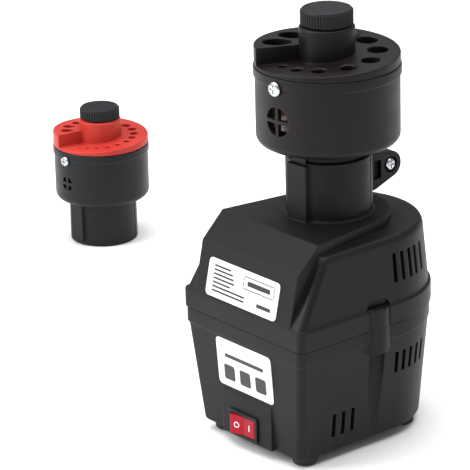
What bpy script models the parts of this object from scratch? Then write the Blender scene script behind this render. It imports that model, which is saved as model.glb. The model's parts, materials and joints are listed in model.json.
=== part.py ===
"""Bench drill bit sharpener with two interchangeable sharpening heads.

The spindle axis is the world Z axis, the feet stand on Z = 0, the switch faces -Y.
Sizes are written in millimetres and become metres when a mesh is made.
"""

import math

import bmesh
import bpy
from mathutils import Matrix, Vector

MM = 0.001
GAP = 0.3  # clearance between two pieces that meet
SLIDING_GAP = 0.35  # clearance around a piece that slides or turns
OVERLAP = 1.0  # how far shapes that become one solid reach into each other
WALL = 2.4
ROUND_STEPS = 48

# Feet
FOOT_HEIGHT = 5.0
FOOT_RADIUS = 6.6
FOOT_PLUG_RADIUS = 2.6
FOOT_PLACES = {
    "foot_front_left": (-31.5, -46.5),
    "foot_front_right": (31.5, -46.5),
    "foot_back_left": (-26.0, 26.0),
    "foot_back_right": (26.0, 26.0),
}

# Casing levels, measured from the table
CASING_BOTTOM = FOOT_HEIGHT
BELT_LOW = 60.3
SEAM = 68.9
BELT_TOP = 79.9
FACET_LOW = 106.8
SHOULDER = 114.4
DECK = 120.2
COLLAR_TOP = 151.9

# Casing outlines: half width, front distance and the centre of the round back
BOTTOM_OUTLINE = (40.1, 56.7, 8.0)
LOWER_TOP_OUTLINE = (46.2, 60.9, 7.0)
LOWER_BELT_OUTLINE = (47.2, 61.5, 6.4)
UPPER_BELT_OUTLINE = (48.0, 61.9, 6.6)
SHOULDER_FOOT_OUTLINE = (46.6, 60.6, 6.6)
SHOULDER_EDGE_OUTLINE = (43.2, 43.0, 7.6)
SHOULDER_TOP_OUTLINE = (40.2, 39.8, 7.6)
BACK_STEPS = 20

# Raised block in front of the neck, which carries the rating label
BLOCK_HALF_WIDTH = 38.3
BLOCK_FRONT_LOW = 61.2
BLOCK_FRONT_HIGH = 55.0
BLOCK_DECK_FRONT = 41.0
BLOCK_BACK_RADIUS = 32.2

# Neck collar, its keyway and its clamp ears
COLLAR_RADIUS = 22.7
COLLAR_WALL = 1.7
SOCKET_FLOOR_THICKNESS = 3.0
KEY_DIRECTION = math.radians(-85.0)
KEY_WIDTH = 10.0
KEY_PROUD = 1.9
KEY_START = 3.0  # the key begins this far above the tube's end
KEYWAY_WALL = 1.5
EAR_DIRECTION_Y = 38.2
EAR_TIP_RADIUS = 7.2
EAR_SCREW_Z = 137.0
EAR_HALF_THICKNESS = 5.6
CLAMP_SLIT = 1.8
GROOVE_DIRECTION = math.radians(31.0)

# Both heads share the tube that drops into the collar
TUBE_LENGTH = 27.0
TUBE_WALL = 2.0
TUBE_RADIUS = COLLAR_RADIUS - COLLAR_WALL - SLIDING_GAP

# Motor
SHAFT_RADIUS = 4.0
MOTOR_BRACKET_Z = 46.0
STATOR_Z = (58.0, 90.0)
STATOR_RADIUS = 33.0
YOKE_THICKNESS = 6.0
POLE_WIDTH = 12.0
ROTOR_RADIUS = 17.0
AIR_GAP = 0.5
COIL_BUILD = 3.8
BEARING_RADIUS = 9.0
BEARING_HEIGHT = 5.0
BOLT_CIRCLE = 30.0
FAN_RADIUS = 27.0
FAN_BLADES = 7
HEX_RADIUS = 3.1
POST_CIRCLE = 21.0
POST_RADIUS = 3.6
UPPER_BRACKET_Z = 99.0
BRACKET_THICKNESS = 3.0
FAN_Z = (106.0, 113.0)
SHAFT_TOP = 128.0
SHAFT_BOTTOM = 41.0

# Ventilation slots: directions on the round back wall, and those in the sides near the front
UPPER_VENT_ANGLES = (-2.0, 5.2, 12.8, 19.6, 28.0)
LOWER_VENT_ANGLES = (-1.4, 5.2, 12.2, 19.6, 27.0)
UPPER_VENT_Z = (90.0, 105.6)
LOWER_VENT_Z = (39.2, 51.2)
FRONT_VENT_Z = (13.6, 27.0)
FRONT_VENT_Y = (-35.2, -28.8, -22.4)

# Bosses at the sides, the niche above each and the groove below each
BOSS_X = 41.4
BOSS_Y = -8.0
BOSS_RADIUS = 9.2
BOSS_Z = (55.5, BELT_TOP + 0.3)
NICHE_HEIGHT = 4.0
NICHE_WALL_X = 45.1
GROOVE_RADIUS = 5.4
GROOVE_X = 45.6

# Four long screws rise from deep holes in the bottom and bite into columns of the upper casing
COLUMN_RADIUS = 4.6
COLUMN_PLACES = {
    "front_left": (-22.0, -42.0),
    "front_right": (22.0, -42.0),
    "back_left": (-15.0, 36.0),
    "back_right": (15.0, 36.0),
}
COLUMN_TOP = 113.2
SCREW_SHANK = 1.7
SCREW_HEAD = 3.1
SCREW_SEAT_Z = 50.0
SCREW_GRIP = 14.0

# Screw and nut of the collar's clamp
CLAMP_SHANK = 1.9
CLAMP_HEAD = 3.3
CLAMP_NUT = 3.6

# Stickers
LABEL_GAP = 0.1
LABEL_THICKNESS = 0.4
LABEL_CORNER = 2.4
RATING_LABEL_Z = (80.6, 100.2)
FRONT_LABEL_Z = (32.4, 59.2)
RATING_LABEL_HALF_WIDTH = 28.2
FRONT_LABEL_HALF_WIDTH = 22.0

# Mains rocker switch
SWITCH_X = -2.0
SWITCH_Z = 13.4
SWITCH_BEZEL = (22.4, 14.2)
SWITCH_FLANGE = 0.6  # how far the bezel laps over the pad round its opening
SWITCH_WALL = 0.7
SWITCH_DEPTH = 15.0
ROCKER_REST_TILT = math.radians(9.0)
ROCKER_TIP_ROOM = 0.9  # the rocker's ends swing outwards as it tips
PAD_HALF_WIDTH = 19.8
PAD_TOP = 30.0
PAD_FRONT = 59.2
BEZEL_PROUD = 0.9
ROCKER_AXIS_Y = -PAD_FRONT + 1.6
CABLE_Z = 19.0
CABLE_HOLE = 6.0
CABLE_BORE = 3.4

# Inner pieces that both heads share
SPINDLE_RISE = 4.6
SPINDLE_RADIUS = 5.6
SOCKET_DEPTH = 9.0
STEM_RADIUS = 4.0
SLEEVE_RADIUS = 9.6
FEED_ROOM = 2.0
HEAD_BEARING_RADIUS = 7.0
HEAD_BEARING_HEIGHT = 4.0
HEAD_JOURNAL = 3.0
WHEEL_BORE = 5.0
WHEEL_HEIGHT = 15.0
CAP_PLUG_DEPTH = 10.4
RAMP_STEPS = 48

# The mounted head, and the spare head that stands beside the machine
BLACK_HEAD = {
    "name": "head",
    "x": 0.0,
    "y": 0.0,
    "drum_bottom": 158.5,
    "drum_height": 41.8,
    "drum_radius": 37.6,
    "lip_proud": 0.8,
    "lip_height": 5.1,
    "ramp_low": 1.6,
    "ramp_rise": 9.2,
    "ramp_start": -115.5,
    "boss_radius": 14.6,
    "boss_height": 20.2,
    "knob_radius": 13.8,
    "knob_height": 8.4,
    "guide_circle": 26.0,
    "guide_angles": (-102, -77, -50, -17, 17, 52, 87, 118, 149, 183, 221),
    "guide_diameters": (6.0, 15.4),
    "vent_radius": 7.8,
    "vent_drop": 23.4,
    "screw_drop": 5.5,
    "screw_radius": 4.0,
    "wheel_radius": 33.0,
}
SPARE_HEAD = {
    "name": "spare",
    "x": -312.0,
    "y": 85.0,
    "drum_bottom": TUBE_LENGTH,
    "drum_height": 34.3,
    "drum_radius": 28.8,
    "lip_proud": 0.6,
    "lip_height": 4.6,
    "ramp_low": 1.5,
    "ramp_rise": 8.1,
    "ramp_start": -99.0,
    "boss_radius": 13.0,
    "boss_height": 15.6,
    "knob_radius": 12.2,
    "knob_height": 6.9,
    "guide_circle": 20.3,
    "guide_angles": (-94, -78, -60, -43, -25, -6, 14, 33, 52, 72, 92, 113, 136, 160, 186, 213, 241),
    "guide_diameters": (1.8, 7.8),
    "vent_radius": 4.4,
    "vent_drop": 20.0,
    "screw_drop": 5.2,
    "screw_radius": 3.0,
    "wheel_radius": 24.6,
}

COLOURS = {
    "black_plastic": ("#302e33", 0.48, 0.0),
    "red_plastic": ("#d0443f", 0.42, 0.0),
    "rubber": ("#1c1b1d", 0.85, 0.0),
    "label_white": ("#f2f2f2", 0.5, 0.0),
    "rocker_red": ("#d3173a", 0.25, 0.0),
    "zinc_steel": ("#c9ccd0", 0.3, 1.0),
    "bright_steel": ("#b9bcc0", 0.25, 1.0),
    "core_steel": ("#6a6d70", 0.5, 1.0),
    "copper_wire": ("#b06a35", 0.4, 1.0),
    "cast_aluminium": ("#a9abad", 0.45, 1.0),
    "corundum": ("#b9a9a4", 0.95, 0.0),
    "brass": ("#b58f3e", 0.35, 1.0),
    "grey_nylon": ("#c8c6bd", 0.55, 0.0),
}


# ---------------------------------------------------------------- scene, materials


def clear_scene():
    for obj in list(bpy.data.objects):
        bpy.data.objects.remove(obj, do_unlink=True)


def new_collection(name):
    collection = bpy.data.collections.new(name)
    bpy.context.scene.collection.children.link(collection)
    return collection


def linear(channel):
    return channel / 12.92 if channel <= 0.04045 else ((channel + 0.055) / 1.055) ** 2.4


def material(name):
    """One Principled material per finish, made the first time it is asked for."""
    if name in bpy.data.materials:
        return bpy.data.materials[name]
    code, roughness, metallic = COLOURS[name]
    channels = [int(code[i : i + 2], 16) / 255 for i in (1, 3, 5)]
    made = bpy.data.materials.new(name)
    made.use_nodes = True
    shader = made.node_tree.nodes["Principled BSDF"]
    shader.inputs["Base Color"].default_value = [linear(c) for c in channels] + [1.0]
    shader.inputs["Roughness"].default_value = roughness
    shader.inputs["Metallic"].default_value = metallic
    return made


def object_from(bm, name, finish=None):
    """Turns a bmesh in millimetres into an object in metres: a piece, or a hidden helper."""
    bmesh.ops.scale(bm, vec=(MM, MM, MM), verts=bm.verts)
    mesh = bpy.data.meshes.new(name)
    bm.to_mesh(mesh)
    bm.free()
    obj = bpy.data.objects.new(name, mesh)
    if finish:
        mesh.materials.append(material(finish))
        pieces.objects.link(obj)
    else:
        helpers.objects.link(obj)
        obj.hide_render = True
        obj.display_type = "WIRE"
    return obj


def combine(target, operation, others):
    for other in others:
        boolean = target.modifiers.new(other.name, "BOOLEAN")
        boolean.operation = operation
        boolean.solver = "EXACT"
        boolean.object = other
    return target


def cut(target, *cutters):
    return combine(target, "DIFFERENCE", cutters)


def join(target, *others):
    return combine(target, "UNION", others)


def smooth(obj, degrees=35):
    obj.data.shade_smooth()
    obj.data.set_sharp_from_angle(angle=math.radians(degrees))
    return obj


# ---------------------------------------------------------------- basic shapes, in mm


def add_box(bm, low, high):
    centre = [(a + b) / 2 for a, b in zip(low, high)]
    size = [b - a for a, b in zip(low, high)]
    bmesh.ops.create_cube(bm, size=1, matrix=Matrix.LocRotScale(centre, None, size))
    return bm


def add_rod(bm, radius, start, end, steps=24, end_radius=None):
    """A cylinder or cone between two points."""
    start, end = Vector(start), Vector(end)
    along = end - start
    turn = along.to_track_quat("Z", "Y").to_matrix().to_4x4()
    bmesh.ops.create_cone(
        bm,
        cap_ends=True,
        segments=steps,
        radius1=radius,
        radius2=radius if end_radius is None else end_radius,
        depth=along.length,
        matrix=Matrix.Translation((start + end) / 2) @ turn,
    )
    return bm


def box(name, low, high, finish=None):
    return object_from(add_box(bmesh.new(), low, high), name, finish)


def rod(name, radius, start, end, finish=None, steps=24, end_radius=None):
    return object_from(add_rod(bmesh.new(), radius, start, end, steps, end_radius), name, finish)


def turned(name, profile, finish=None, steps=ROUND_STEPS, at=(0.0, 0.0)):
    """A closed profile of (radius, z) points, spun round a vertical axis by a Screw modifier.

    The profile runs down its outer side first.
    """
    bm = bmesh.new()
    points = [bm.verts.new((r, 0, z)) for r, z in profile]
    on_axis = profile[0][0] == 0 and profile[-1][0] == 0
    for a, b in zip(points, points[1:]):
        bm.edges.new((a, b))
    if not on_axis:
        bm.edges.new((points[-1], points[0]))
    obj = object_from(bm, name, finish)
    obj.location = (at[0] * MM, at[1] * MM, 0)
    screw = obj.modifiers.new("Turn", "SCREW")
    screw.steps = steps
    screw.render_steps = steps
    screw.use_merge_vertices = True
    screw.merge_threshold = 1e-6
    screw.use_smooth_shade = True
    return obj


def add_loft(bm, rings):
    """A closed solid through rings of equally many points, listed from the bottom up."""
    rows = [[bm.verts.new(point) for point in ring] for ring in rings]
    for below, above in zip(rows, rows[1:]):
        for i in range(len(below)):
            j = (i + 1) % len(below)
            bm.faces.new((below[i], below[j], above[j]))
            bm.faces.new((below[i], above[j], above[i]))
    bm.faces.new(rows[0][::-1])
    bm.faces.new(rows[-1])
    return bm


def loft(name, rings, finish=None):
    return object_from(add_loft(bmesh.new(), rings), name, finish)


def slab(name, outline, thickness, place, finish=None):
    """A flat outline given a thickness: a filled 2D curve, turned into a mesh and set in place.

    place is a matrix that carries the outline's plane, centred in its thickness, to where it goes.
    """
    curve = bpy.data.curves.new(name, "CURVE")
    curve.dimensions = "2D"
    curve.fill_mode = "BOTH"
    curve.extrude = thickness / 2
    spline = curve.splines.new("POLY")
    spline.points.add(len(outline) - 1)
    for point, (x, y) in zip(spline.points, outline):
        point.co = (x, y, 0, 1)
    spline.use_cyclic_u = True
    guide = bpy.data.objects.new(name, curve)
    bpy.context.scene.collection.objects.link(guide)
    bpy.context.view_layer.update()
    mesh = bpy.data.meshes.new_from_object(guide.evaluated_get(bpy.context.evaluated_depsgraph_get()))
    bpy.data.objects.remove(guide)
    bpy.data.curves.remove(curve)
    bm = bmesh.new()
    bm.from_mesh(mesh)
    bpy.data.meshes.remove(mesh)
    bmesh.ops.remove_doubles(bm, verts=bm.verts, dist=1e-4)
    caps = [face for face in bm.faces if abs(face.normal.z) > 0.9]
    bmesh.ops.delete(bm, geom=caps, context="FACES_ONLY")
    bmesh.ops.holes_fill(bm, edges=[edge for edge in bm.edges if edge.is_boundary], sides=0)
    bmesh.ops.recalc_face_normals(bm, faces=bm.faces)
    bmesh.ops.transform(bm, matrix=place, verts=bm.verts)
    return object_from(bm, name, finish)


def prism(name, outline, z0, z1, finish=None):
    return slab(name, outline, z1 - z0, Matrix.Translation((0, 0, (z0 + z1) / 2)), finish)


def facing(middle, axis, upward=(0, 0, 1)):
    """Matrix whose Z runs along axis and whose Y leans towards upward."""
    along = Vector(axis).normalized()
    across = Vector(upward).cross(along).normalized()
    turn = Matrix((across, along.cross(across), along)).transposed().to_4x4()
    return Matrix.Translation(middle) @ turn


def set_origin(obj, x, y, z):
    """Puts the object's origin on a joint's axis and leaves its shape where it is."""
    place = Vector((x, y, z)) * MM
    obj.data.transform(Matrix.Translation(-place))
    obj.location = place
    return obj


def arc(centre, radius, start, end, steps):
    """Points on an arc, with angles in degrees."""
    angles = [math.radians(start + (end - start) * i / steps) for i in range(steps + 1)]
    return [(centre[0] + radius * math.cos(a), centre[1] + radius * math.sin(a)) for a in angles]


def polar(radius, angle):
    return (radius * math.cos(angle), radius * math.sin(angle))


def turned_copy(outline, angle):
    c, s = math.cos(angle), math.sin(angle)
    return [(x * c - y * s, x * s + y * c) for x, y in outline]


def between(a, b, share):
    return tuple(p + (q - p) * share for p, q in zip(a, b))


# ---------------------------------------------------------------- casing outlines


def casing_outline(outline, inset=0.0, corner=4.0):
    """Flat front, straight sides and a half round back, counter-clockwise from above."""
    half, front, back_centre = outline
    half, front = half - inset, front - inset
    corner = max(corner - inset, 0.8)
    points = arc((half - corner, -front + corner), corner, -90, 0, 3)
    points += arc((0, back_centre), half, 0, 180, BACK_STEPS)
    points += arc((-half + corner, -front + corner), corner, 180, 270, 3)
    return points


def casing_ring(outline, z, inset=0.0):
    return [(x, y, z) for x, y in casing_outline(outline, inset)]


def block_outline(front, inset=0.0):
    """Plan of the raised block: parallel sides, then sides that close in on the round back."""
    half = BLOCK_HALF_WIDTH - inset
    radius = BLOCK_BACK_RADIUS - inset
    far = math.hypot(half, BLOCK_DECK_FRONT)
    touch = math.degrees(math.acos(radius / far) - math.atan2(BLOCK_DECK_FRONT, half))
    points = [(half, -front), (half, -BLOCK_DECK_FRONT + inset + 0.5)]
    points += arc((0, 0), radius, touch, 180 - touch, 16)
    return points + [(-half, -BLOCK_DECK_FRONT + inset + 0.5), (-half, -front)]


def block_ring(front, z, inset=0.0):
    return [(x, y, z) for x, y in block_outline(front - inset, inset)]


def lower_wall(z):
    """Outline of the lower casing's outside at a height."""
    share = (z - CASING_BOTTOM) / (BELT_LOW - CASING_BOTTOM)
    return between(BOTTOM_OUTLINE, LOWER_TOP_OUTLINE, share)


def shoulder_wall(z):
    """Outline of the upper casing's outside at a height between belt and shoulder."""
    top = SHOULDER - 5.0
    share = (z - BELT_TOP) / (top - BELT_TOP)
    return between(SHOULDER_FOOT_OUTLINE, SHOULDER_EDGE_OUTLINE, share)


def shoulder_rings(bottom, inset=0.0, drop=0.0):
    """The shoulder is a loft: upright foot, leaning wall, rounded edge, flat top."""
    rounded = between(SHOULDER_EDGE_OUTLINE, SHOULDER_TOP_OUTLINE, 0.35)
    return [
        casing_ring(SHOULDER_FOOT_OUTLINE, bottom, inset),
        casing_ring(SHOULDER_FOOT_OUTLINE, BELT_TOP, inset),
        casing_ring(shoulder_wall(SHOULDER - 5.0), SHOULDER - 5.0 - drop, inset),
        casing_ring(rounded, SHOULDER - 1.6 - drop, inset),
        casing_ring(SHOULDER_TOP_OUTLINE, SHOULDER - drop, inset),
    ]


def block_rings(inset=0.0, bottom=BELT_TOP - OVERLAP, drop=0.0):
    """The block is a loft: label face, slanting facet, deck."""
    return [
        block_ring(BLOCK_FRONT_LOW, bottom, inset),
        block_ring(BLOCK_FRONT_HIGH, FACET_LOW - drop, inset),
        block_ring(BLOCK_DECK_FRONT, DECK - drop, inset),
    ]


# ---------------------------------------------------------------- vents


def slot(bm, outline, angle, z0, z1, width=2.6):
    """An upright slot through the round back wall, seen along its own radius."""
    half, _, back_centre = outline
    across = Matrix.Rotation(angle, 4, "Z")
    centre = Vector((0, back_centre, 0)) + across @ Vector((half - WALL / 2, 0, 0))
    size = (WALL * 4, width, z1 - z0)
    place = Matrix.Translation((centre.x, centre.y, (z0 + z1) / 2)) @ across
    bmesh.ops.create_cube(bm, size=1, matrix=place @ Matrix.Diagonal((*size, 1)))


def mirrored_slots(name, outline, angles, z0, z1):
    bm = bmesh.new()
    for degrees in angles:
        slot(bm, outline, math.radians(degrees), z0, z1)
        slot(bm, outline, math.radians(180 - degrees), z0, z1)
    return object_from(bm, name)


def front_side_slots():
    bm = bmesh.new()
    for y in FRONT_VENT_Y:
        for side in (-1, 1):
            low = (side * 42 - 6, y - 1.3, FRONT_VENT_Z[0])
            high = (side * 42 + 6, y + 1.3, FRONT_VENT_Z[1])
            add_box(bm, low, high)
    return object_from(bm, "cut_front_slots")


def side_rods(name, radius, x, z0, z1, steps=24):
    bm = bmesh.new()
    for side in (-1, 1):
        add_rod(bm, radius, (side * x, BOSS_Y, z0), (side * x, BOSS_Y, z1), steps)
    return object_from(bm, name)


def upright_rods(name, places, radius, z0, z1, steps=16):
    bm = bmesh.new()
    for x, y in places:
        add_rod(bm, radius, (x, y, z0), (x, y, z1), steps)
    return object_from(bm, name)


def column_rods(name, radius, z0, z1, steps=16):
    return upright_rods(name, COLUMN_PLACES.values(), radius, z0, z1, steps)


def groove_backing():
    """Thicker wall behind the two side grooves, so that they don't break through."""
    bm = bmesh.new()
    half = GROOVE_RADIUS + 2
    for side in (-1, 1):
        rings = []
        for z in (CASING_BOTTOM + WALL - OVERLAP, BOSS_Z[0] + 2):
            inner, outer = GROOVE_X - GROOVE_RADIUS - WALL, lower_wall(z)[0] - 1.2
            xs = sorted((side * inner, side * outer))
            ys = (BOSS_Y - half, BOSS_Y + half)
            rings.append([(xs[0], ys[0], z), (xs[1], ys[0], z), (xs[1], ys[1], z), (xs[0], ys[1], z)])
        add_loft(bm, rings)
    return object_from(bm, "add_groove_backing")


# ---------------------------------------------------------------- casing


def make_lower_housing():
    below_seam = SEAM - GAP / 2
    shell = loft(
        "lower_housing",
        [
            casing_ring(BOTTOM_OUTLINE, CASING_BOTTOM, 1.2),
            casing_ring(lower_wall(CASING_BOTTOM + 1.2), CASING_BOTTOM + 1.2),
            casing_ring(LOWER_TOP_OUTLINE, BELT_LOW),
            casing_ring(LOWER_BELT_OUTLINE, BELT_LOW + 0.5),
            casing_ring(LOWER_BELT_OUTLINE, below_seam),
        ],
        "black_plastic",
    )
    pad = box(
        "add_switch_pad",
        (-PAD_HALF_WIDTH, -PAD_FRONT, CASING_BOTTOM + 0.4),
        (PAD_HALF_WIDTH, -PAD_FRONT + 8, PAD_TOP),
    )
    bosses = side_rods("add_side_bosses", BOSS_RADIUS, BOSS_X, *BOSS_Z)
    cavity = loft(
        "cut_lower_cavity",
        [
            casing_ring(BOTTOM_OUTLINE, CASING_BOTTOM + WALL, WALL),
            casing_ring(LOWER_TOP_OUTLINE, BELT_LOW, WALL),
            casing_ring(LOWER_TOP_OUTLINE, SEAM + 30, WALL),
        ],
    )
    columns = column_rods("add_lower_columns", COLUMN_RADIUS, CASING_BOTTOM + WALL - OVERLAP, below_seam)
    join(shell, pad, bosses)
    cut(shell, cavity)
    join(shell, groove_backing(), columns, posts_under_motor())
    cut(
        shell,
        side_rods("cut_side_grooves", GROOVE_RADIUS, GROOVE_X, CASING_BOTTOM - 1, BOSS_Z[0]),
        column_rods("cut_screw_wells", SCREW_HEAD + GAP, CASING_BOTTOM - 1, SCREW_SEAT_Z),
        column_rods("cut_screw_shanks", SCREW_SHANK + GAP, SCREW_SEAT_Z - 1, SEAM + 1, 12),
        mirrored_slots("cut_lower_slots", lower_wall(45), LOWER_VENT_ANGLES, *LOWER_VENT_Z),
        front_side_slots(),
        switch_opening(),
        foot_sockets(),
        cable_opening(),
    )
    return smooth(shell)


def posts_under_motor():
    """Two posts that stand on the casing floor and carry the lower motor bracket."""
    places = [polar(POST_CIRCLE, math.radians(turn)) for turn in (45, 225)]
    low, high = CASING_BOTTOM + WALL - OVERLAP, MOTOR_BRACKET_Z - GAP
    return upright_rods("add_motor_posts", places, POST_RADIUS, low, high)


def foot_sockets():
    radius = FOOT_PLUG_RADIUS + GAP
    low, high = CASING_BOTTOM - 1, CASING_BOTTOM + WALL + 1
    return upright_rods("cut_foot_sockets", FOOT_PLACES.values(), radius, low, high)


def make_feet():
    """Rubber buttons with a plug that presses into the casing floor."""
    for name, (x, y) in FOOT_PLACES.items():
        top = CASING_BOTTOM - GAP
        profile = [
            (0, CASING_BOTTOM + WALL + 2.2),
            (FOOT_PLUG_RADIUS, CASING_BOTTOM + WALL + 2.2),
            (FOOT_PLUG_RADIUS, top),
            (FOOT_RADIUS, top),
            (FOOT_RADIUS, 1.2),
            (FOOT_RADIUS - 1.2, 0),
            (0, 0),
        ]
        turned(name, profile, "rubber", 20, (x, y))


def make_upper_housing():
    above_seam = SEAM + GAP / 2
    shell = loft(
        "upper_housing",
        [
            casing_ring(UPPER_BELT_OUTLINE, above_seam),
            casing_ring(UPPER_BELT_OUTLINE, BELT_TOP - 0.8),
            casing_ring(UPPER_BELT_OUTLINE, BELT_TOP, 0.8),
        ],
        "black_plastic",
    )
    shoulder = loft("add_shoulder", shoulder_rings(BELT_TOP - 2 * OVERLAP))
    block = loft("add_block", block_rings())
    collar = turned(
        "add_collar",
        [
            (0, COLLAR_TOP),
            (COLLAR_RADIUS - 0.5, COLLAR_TOP),
            (COLLAR_RADIUS, COLLAR_TOP - 0.5),
            (COLLAR_RADIUS, DECK + 1.4),
            (COLLAR_RADIUS + 1.4, DECK - OVERLAP),
            (0, DECK - OVERLAP),
        ],
    )
    rib_width = KEY_WIDTH + 2 * (SLIDING_GAP + KEYWAY_WALL)
    rib_radius = TUBE_RADIUS + KEY_PROUD + SLIDING_GAP + KEYWAY_WALL
    rib_z = (DECK - OVERLAP, COLLAR_TOP - 1.2)
    rib = key_block("add_collar_rib", rib_width, COLLAR_RADIUS - 3, rib_radius, *rib_z)
    join(shell, shoulder, block, collar, rib, clamp_ears())
    cavity = loft("cut_upper_cavity", shoulder_rings(SEAM - 1, WALL, WALL))
    inner_block = loft("cut_block_cavity", block_rings(WALL, BELT_TOP - OVERLAP, WALL))
    socket_floor = tube_bottom() - GAP
    bore_radius = COLLAR_RADIUS - COLLAR_WALL
    bore = rod("cut_socket", bore_radius, (0, 0, socket_floor), (0, 0, COLLAR_TOP + 1), steps=ROUND_STEPS)
    under_socket = rod(
        "cut_under_socket",
        bore_radius - 1.0,
        (0, 0, DECK - WALL - 1),
        (0, 0, socket_floor - SOCKET_FLOOR_THICKNESS),
        steps=ROUND_STEPS,
    )
    shaft_hole = rod("cut_shaft_hole", 9.0, (0, 0, DECK), (0, 0, socket_floor + 1))
    keyway_width = KEY_WIDTH + 2 * SLIDING_GAP
    keyway_z = (key_bottom() - GAP, COLLAR_TOP + 2)
    keyway = key_block("cut_keyway", keyway_width, 5.0, rib_radius - KEYWAY_WALL, *keyway_z)
    notches = side_rods("cut_boss_notches", BOSS_RADIUS + GAP, BOSS_X, SEAM - 1, BOSS_Z[1] + GAP)
    cut(shell, cavity, inner_block, bore, under_socket, shaft_hole, keyway, notches, boss_niches())
    cut(shell, clamp_slit(), groove_cutter("cut_collar_groove", COLLAR_RADIUS, DECK + 2, COLLAR_TOP + 1))
    slots = mirrored_slots("cut_upper_slots", shoulder_wall(98), UPPER_VENT_ANGLES, *UPPER_VENT_Z)
    cut(shell, ear_pockets(), slots)
    join(shell, column_rods("add_upper_columns", COLUMN_RADIUS - 0.4, above_seam, COLUMN_TOP))
    cut(shell, column_rods("cut_pilot_holes", SCREW_SHANK + GAP, SEAM - 1, SEAM + SCREW_GRIP + 2, 12))
    return smooth(shell)


def boss_niches():
    """A shallow recess in the casing wall above each side boss; it narrows upwards."""
    bm = bmesh.new()
    low, high = BOSS_Z[1] - 0.3, BOSS_Z[1] + NICHE_HEIGHT
    levels = ((BOSS_RADIUS + 0.1, low), (BOSS_RADIUS - 0.3, low + 1.6), (6.0, high))
    for side in (-1, 1):
        rings = []
        for radius, z in levels:
            reach = math.degrees(math.acos((NICHE_WALL_X - BOSS_X) / radius))
            edge = arc((BOSS_X, BOSS_Y), radius, -reach, reach, 12)
            rings.append([(side * x, y, z) for x, y in edge[::side]])
        add_loft(bm, rings)
    return object_from(bm, "cut_boss_niches")


def key_block(name, width, inner, outer, z0, z1, at=(0, 0)):
    half = width / 2
    outline = turned_copy([(inner, -half), (outer, -half), (outer, half), (inner, half)], KEY_DIRECTION)
    return prism(name, [(x + at[0], y + at[1]) for x, y in outline], z0, z1)


def groove_cutter(name, radius, z0, z1, at=(0, 0)):
    low, high = radius - 0.7, radius + 2
    outline = turned_copy([(low, -0.6), (high, -0.6), (high, 0.6), (low, 0.6)], GROOVE_DIRECTION)
    return prism(name, [(x + at[0], y + at[1]) for x, y in outline], z0, z1)


def ear_outline():
    """Side view (y, z) of a clamp ear: root on the collar, rounded tip round the screw."""
    tip = arc((EAR_DIRECTION_Y, EAR_SCREW_Z), EAR_TIP_RADIUS, -70, 85, 8)
    root = COLLAR_RADIUS - 1.2
    return [(root, EAR_SCREW_Z - 13), (28.0, EAR_SCREW_Z - 11.4)] + tip + [(root, EAR_SCREW_Z + 9)]


def clamp_ears():
    return slab("add_clamp_ears", ear_outline(), 2 * EAR_HALF_THICKNESS, facing((0, 0, 0), (1, 0, 0)))


def clamp_slit():
    return box(
        "cut_clamp_slit",
        (-CLAMP_SLIT / 2, COLLAR_RADIUS - 6, tube_bottom() + 1),
        (CLAMP_SLIT / 2, EAR_DIRECTION_Y + 2 * EAR_TIP_RADIUS, COLLAR_TOP + 1),
    )


def ear_pockets():
    bm = bmesh.new()
    y, z = EAR_DIRECTION_Y, EAR_SCREW_Z
    outer = EAR_HALF_THICKNESS
    for side in (-1, 1):
        low, high = sorted((side * (outer - 2.6), side * (outer + 1)))
        add_box(bm, (low, 26.2, z - 6.0), (high, 31.4, z + 4.2))
    add_rod(bm, CLAMP_SHANK + GAP, (-outer - 1, y, z), (outer + 1, y, z), 16)
    helper = object_from(bm, "cut_ear_pockets")
    seats = bmesh.new()
    add_rod(seats, CLAMP_HEAD + 1.2, (outer - 1.8, y, z), (outer + 2, y, z), 20)
    add_rod(seats, CLAMP_NUT + GAP, (-outer - 2, y, z), (-outer + 2.4, y, z), 6)
    join(helper, object_from(seats, "cut_ear_seats"))
    return helper


def make_clamp_screw():
    """Cross-head screw through the ears, and the nut that it draws against."""
    y, z, outer = EAR_DIRECTION_Y, EAR_SCREW_Z, EAR_HALF_THICKNESS
    screw = rod("clamp_screw", CLAMP_SHANK, (-outer - 1.5, y, z), (outer - 1, y, z), "zinc_steel", 16)
    head = rod("add_clamp_head", CLAMP_HEAD, (outer - 1.8 + GAP, y, z), (outer + 0.6, y, z), steps=20)
    join(screw, head)
    cut(screw, cross_recess("cut_clamp_recess", (outer + 0.6, y, z), (1, 0, 0), 3.6))
    set_origin(screw, 0, y, z)
    nut = rod("clamp_nut", CLAMP_NUT, (-outer - 0.4, y, z), (-outer + 2.1, y, z), "zinc_steel", 6)
    cut(nut, rod("cut_nut_bore", CLAMP_SHANK + GAP, (-outer - 3, y, z), (0, y, z), steps=16))


def cross_bar(name, middle, axis, size, width, depth):
    """A bar with a cross-shaped section whose arms narrow a little, centred on middle."""
    arm, root, tip = size / 2, width / 2, 0.42 * width
    quarter = [(arm, -tip), (arm, tip), (root, root)]
    outline = [point for turn in range(4) for point in turned_copy(quarter, turn * math.pi / 2)]
    return slab(name, outline, depth, facing(middle, axis))


def cross_recess(name, face_centre, axis, size):
    """Two crossed slots sunk into a screw head that faces along axis."""
    return cross_bar(name, face_centre, axis, size, 0.9, 1.6)


def make_housing_screws():
    seat = SCREW_SEAT_Z - GAP
    top = SEAM + SCREW_GRIP
    for where, place in COLUMN_PLACES.items():
        profile = [(0, top), (SCREW_SHANK, top), (SCREW_SHANK, seat)]
        profile += [(SCREW_HEAD, seat), (SCREW_HEAD, seat - 2.6), (0, seat - 2.6)]
        turned(f"housing_screw_{where}", profile, "zinc_steel", 14, place)


# ---------------------------------------------------------------- labels


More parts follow.
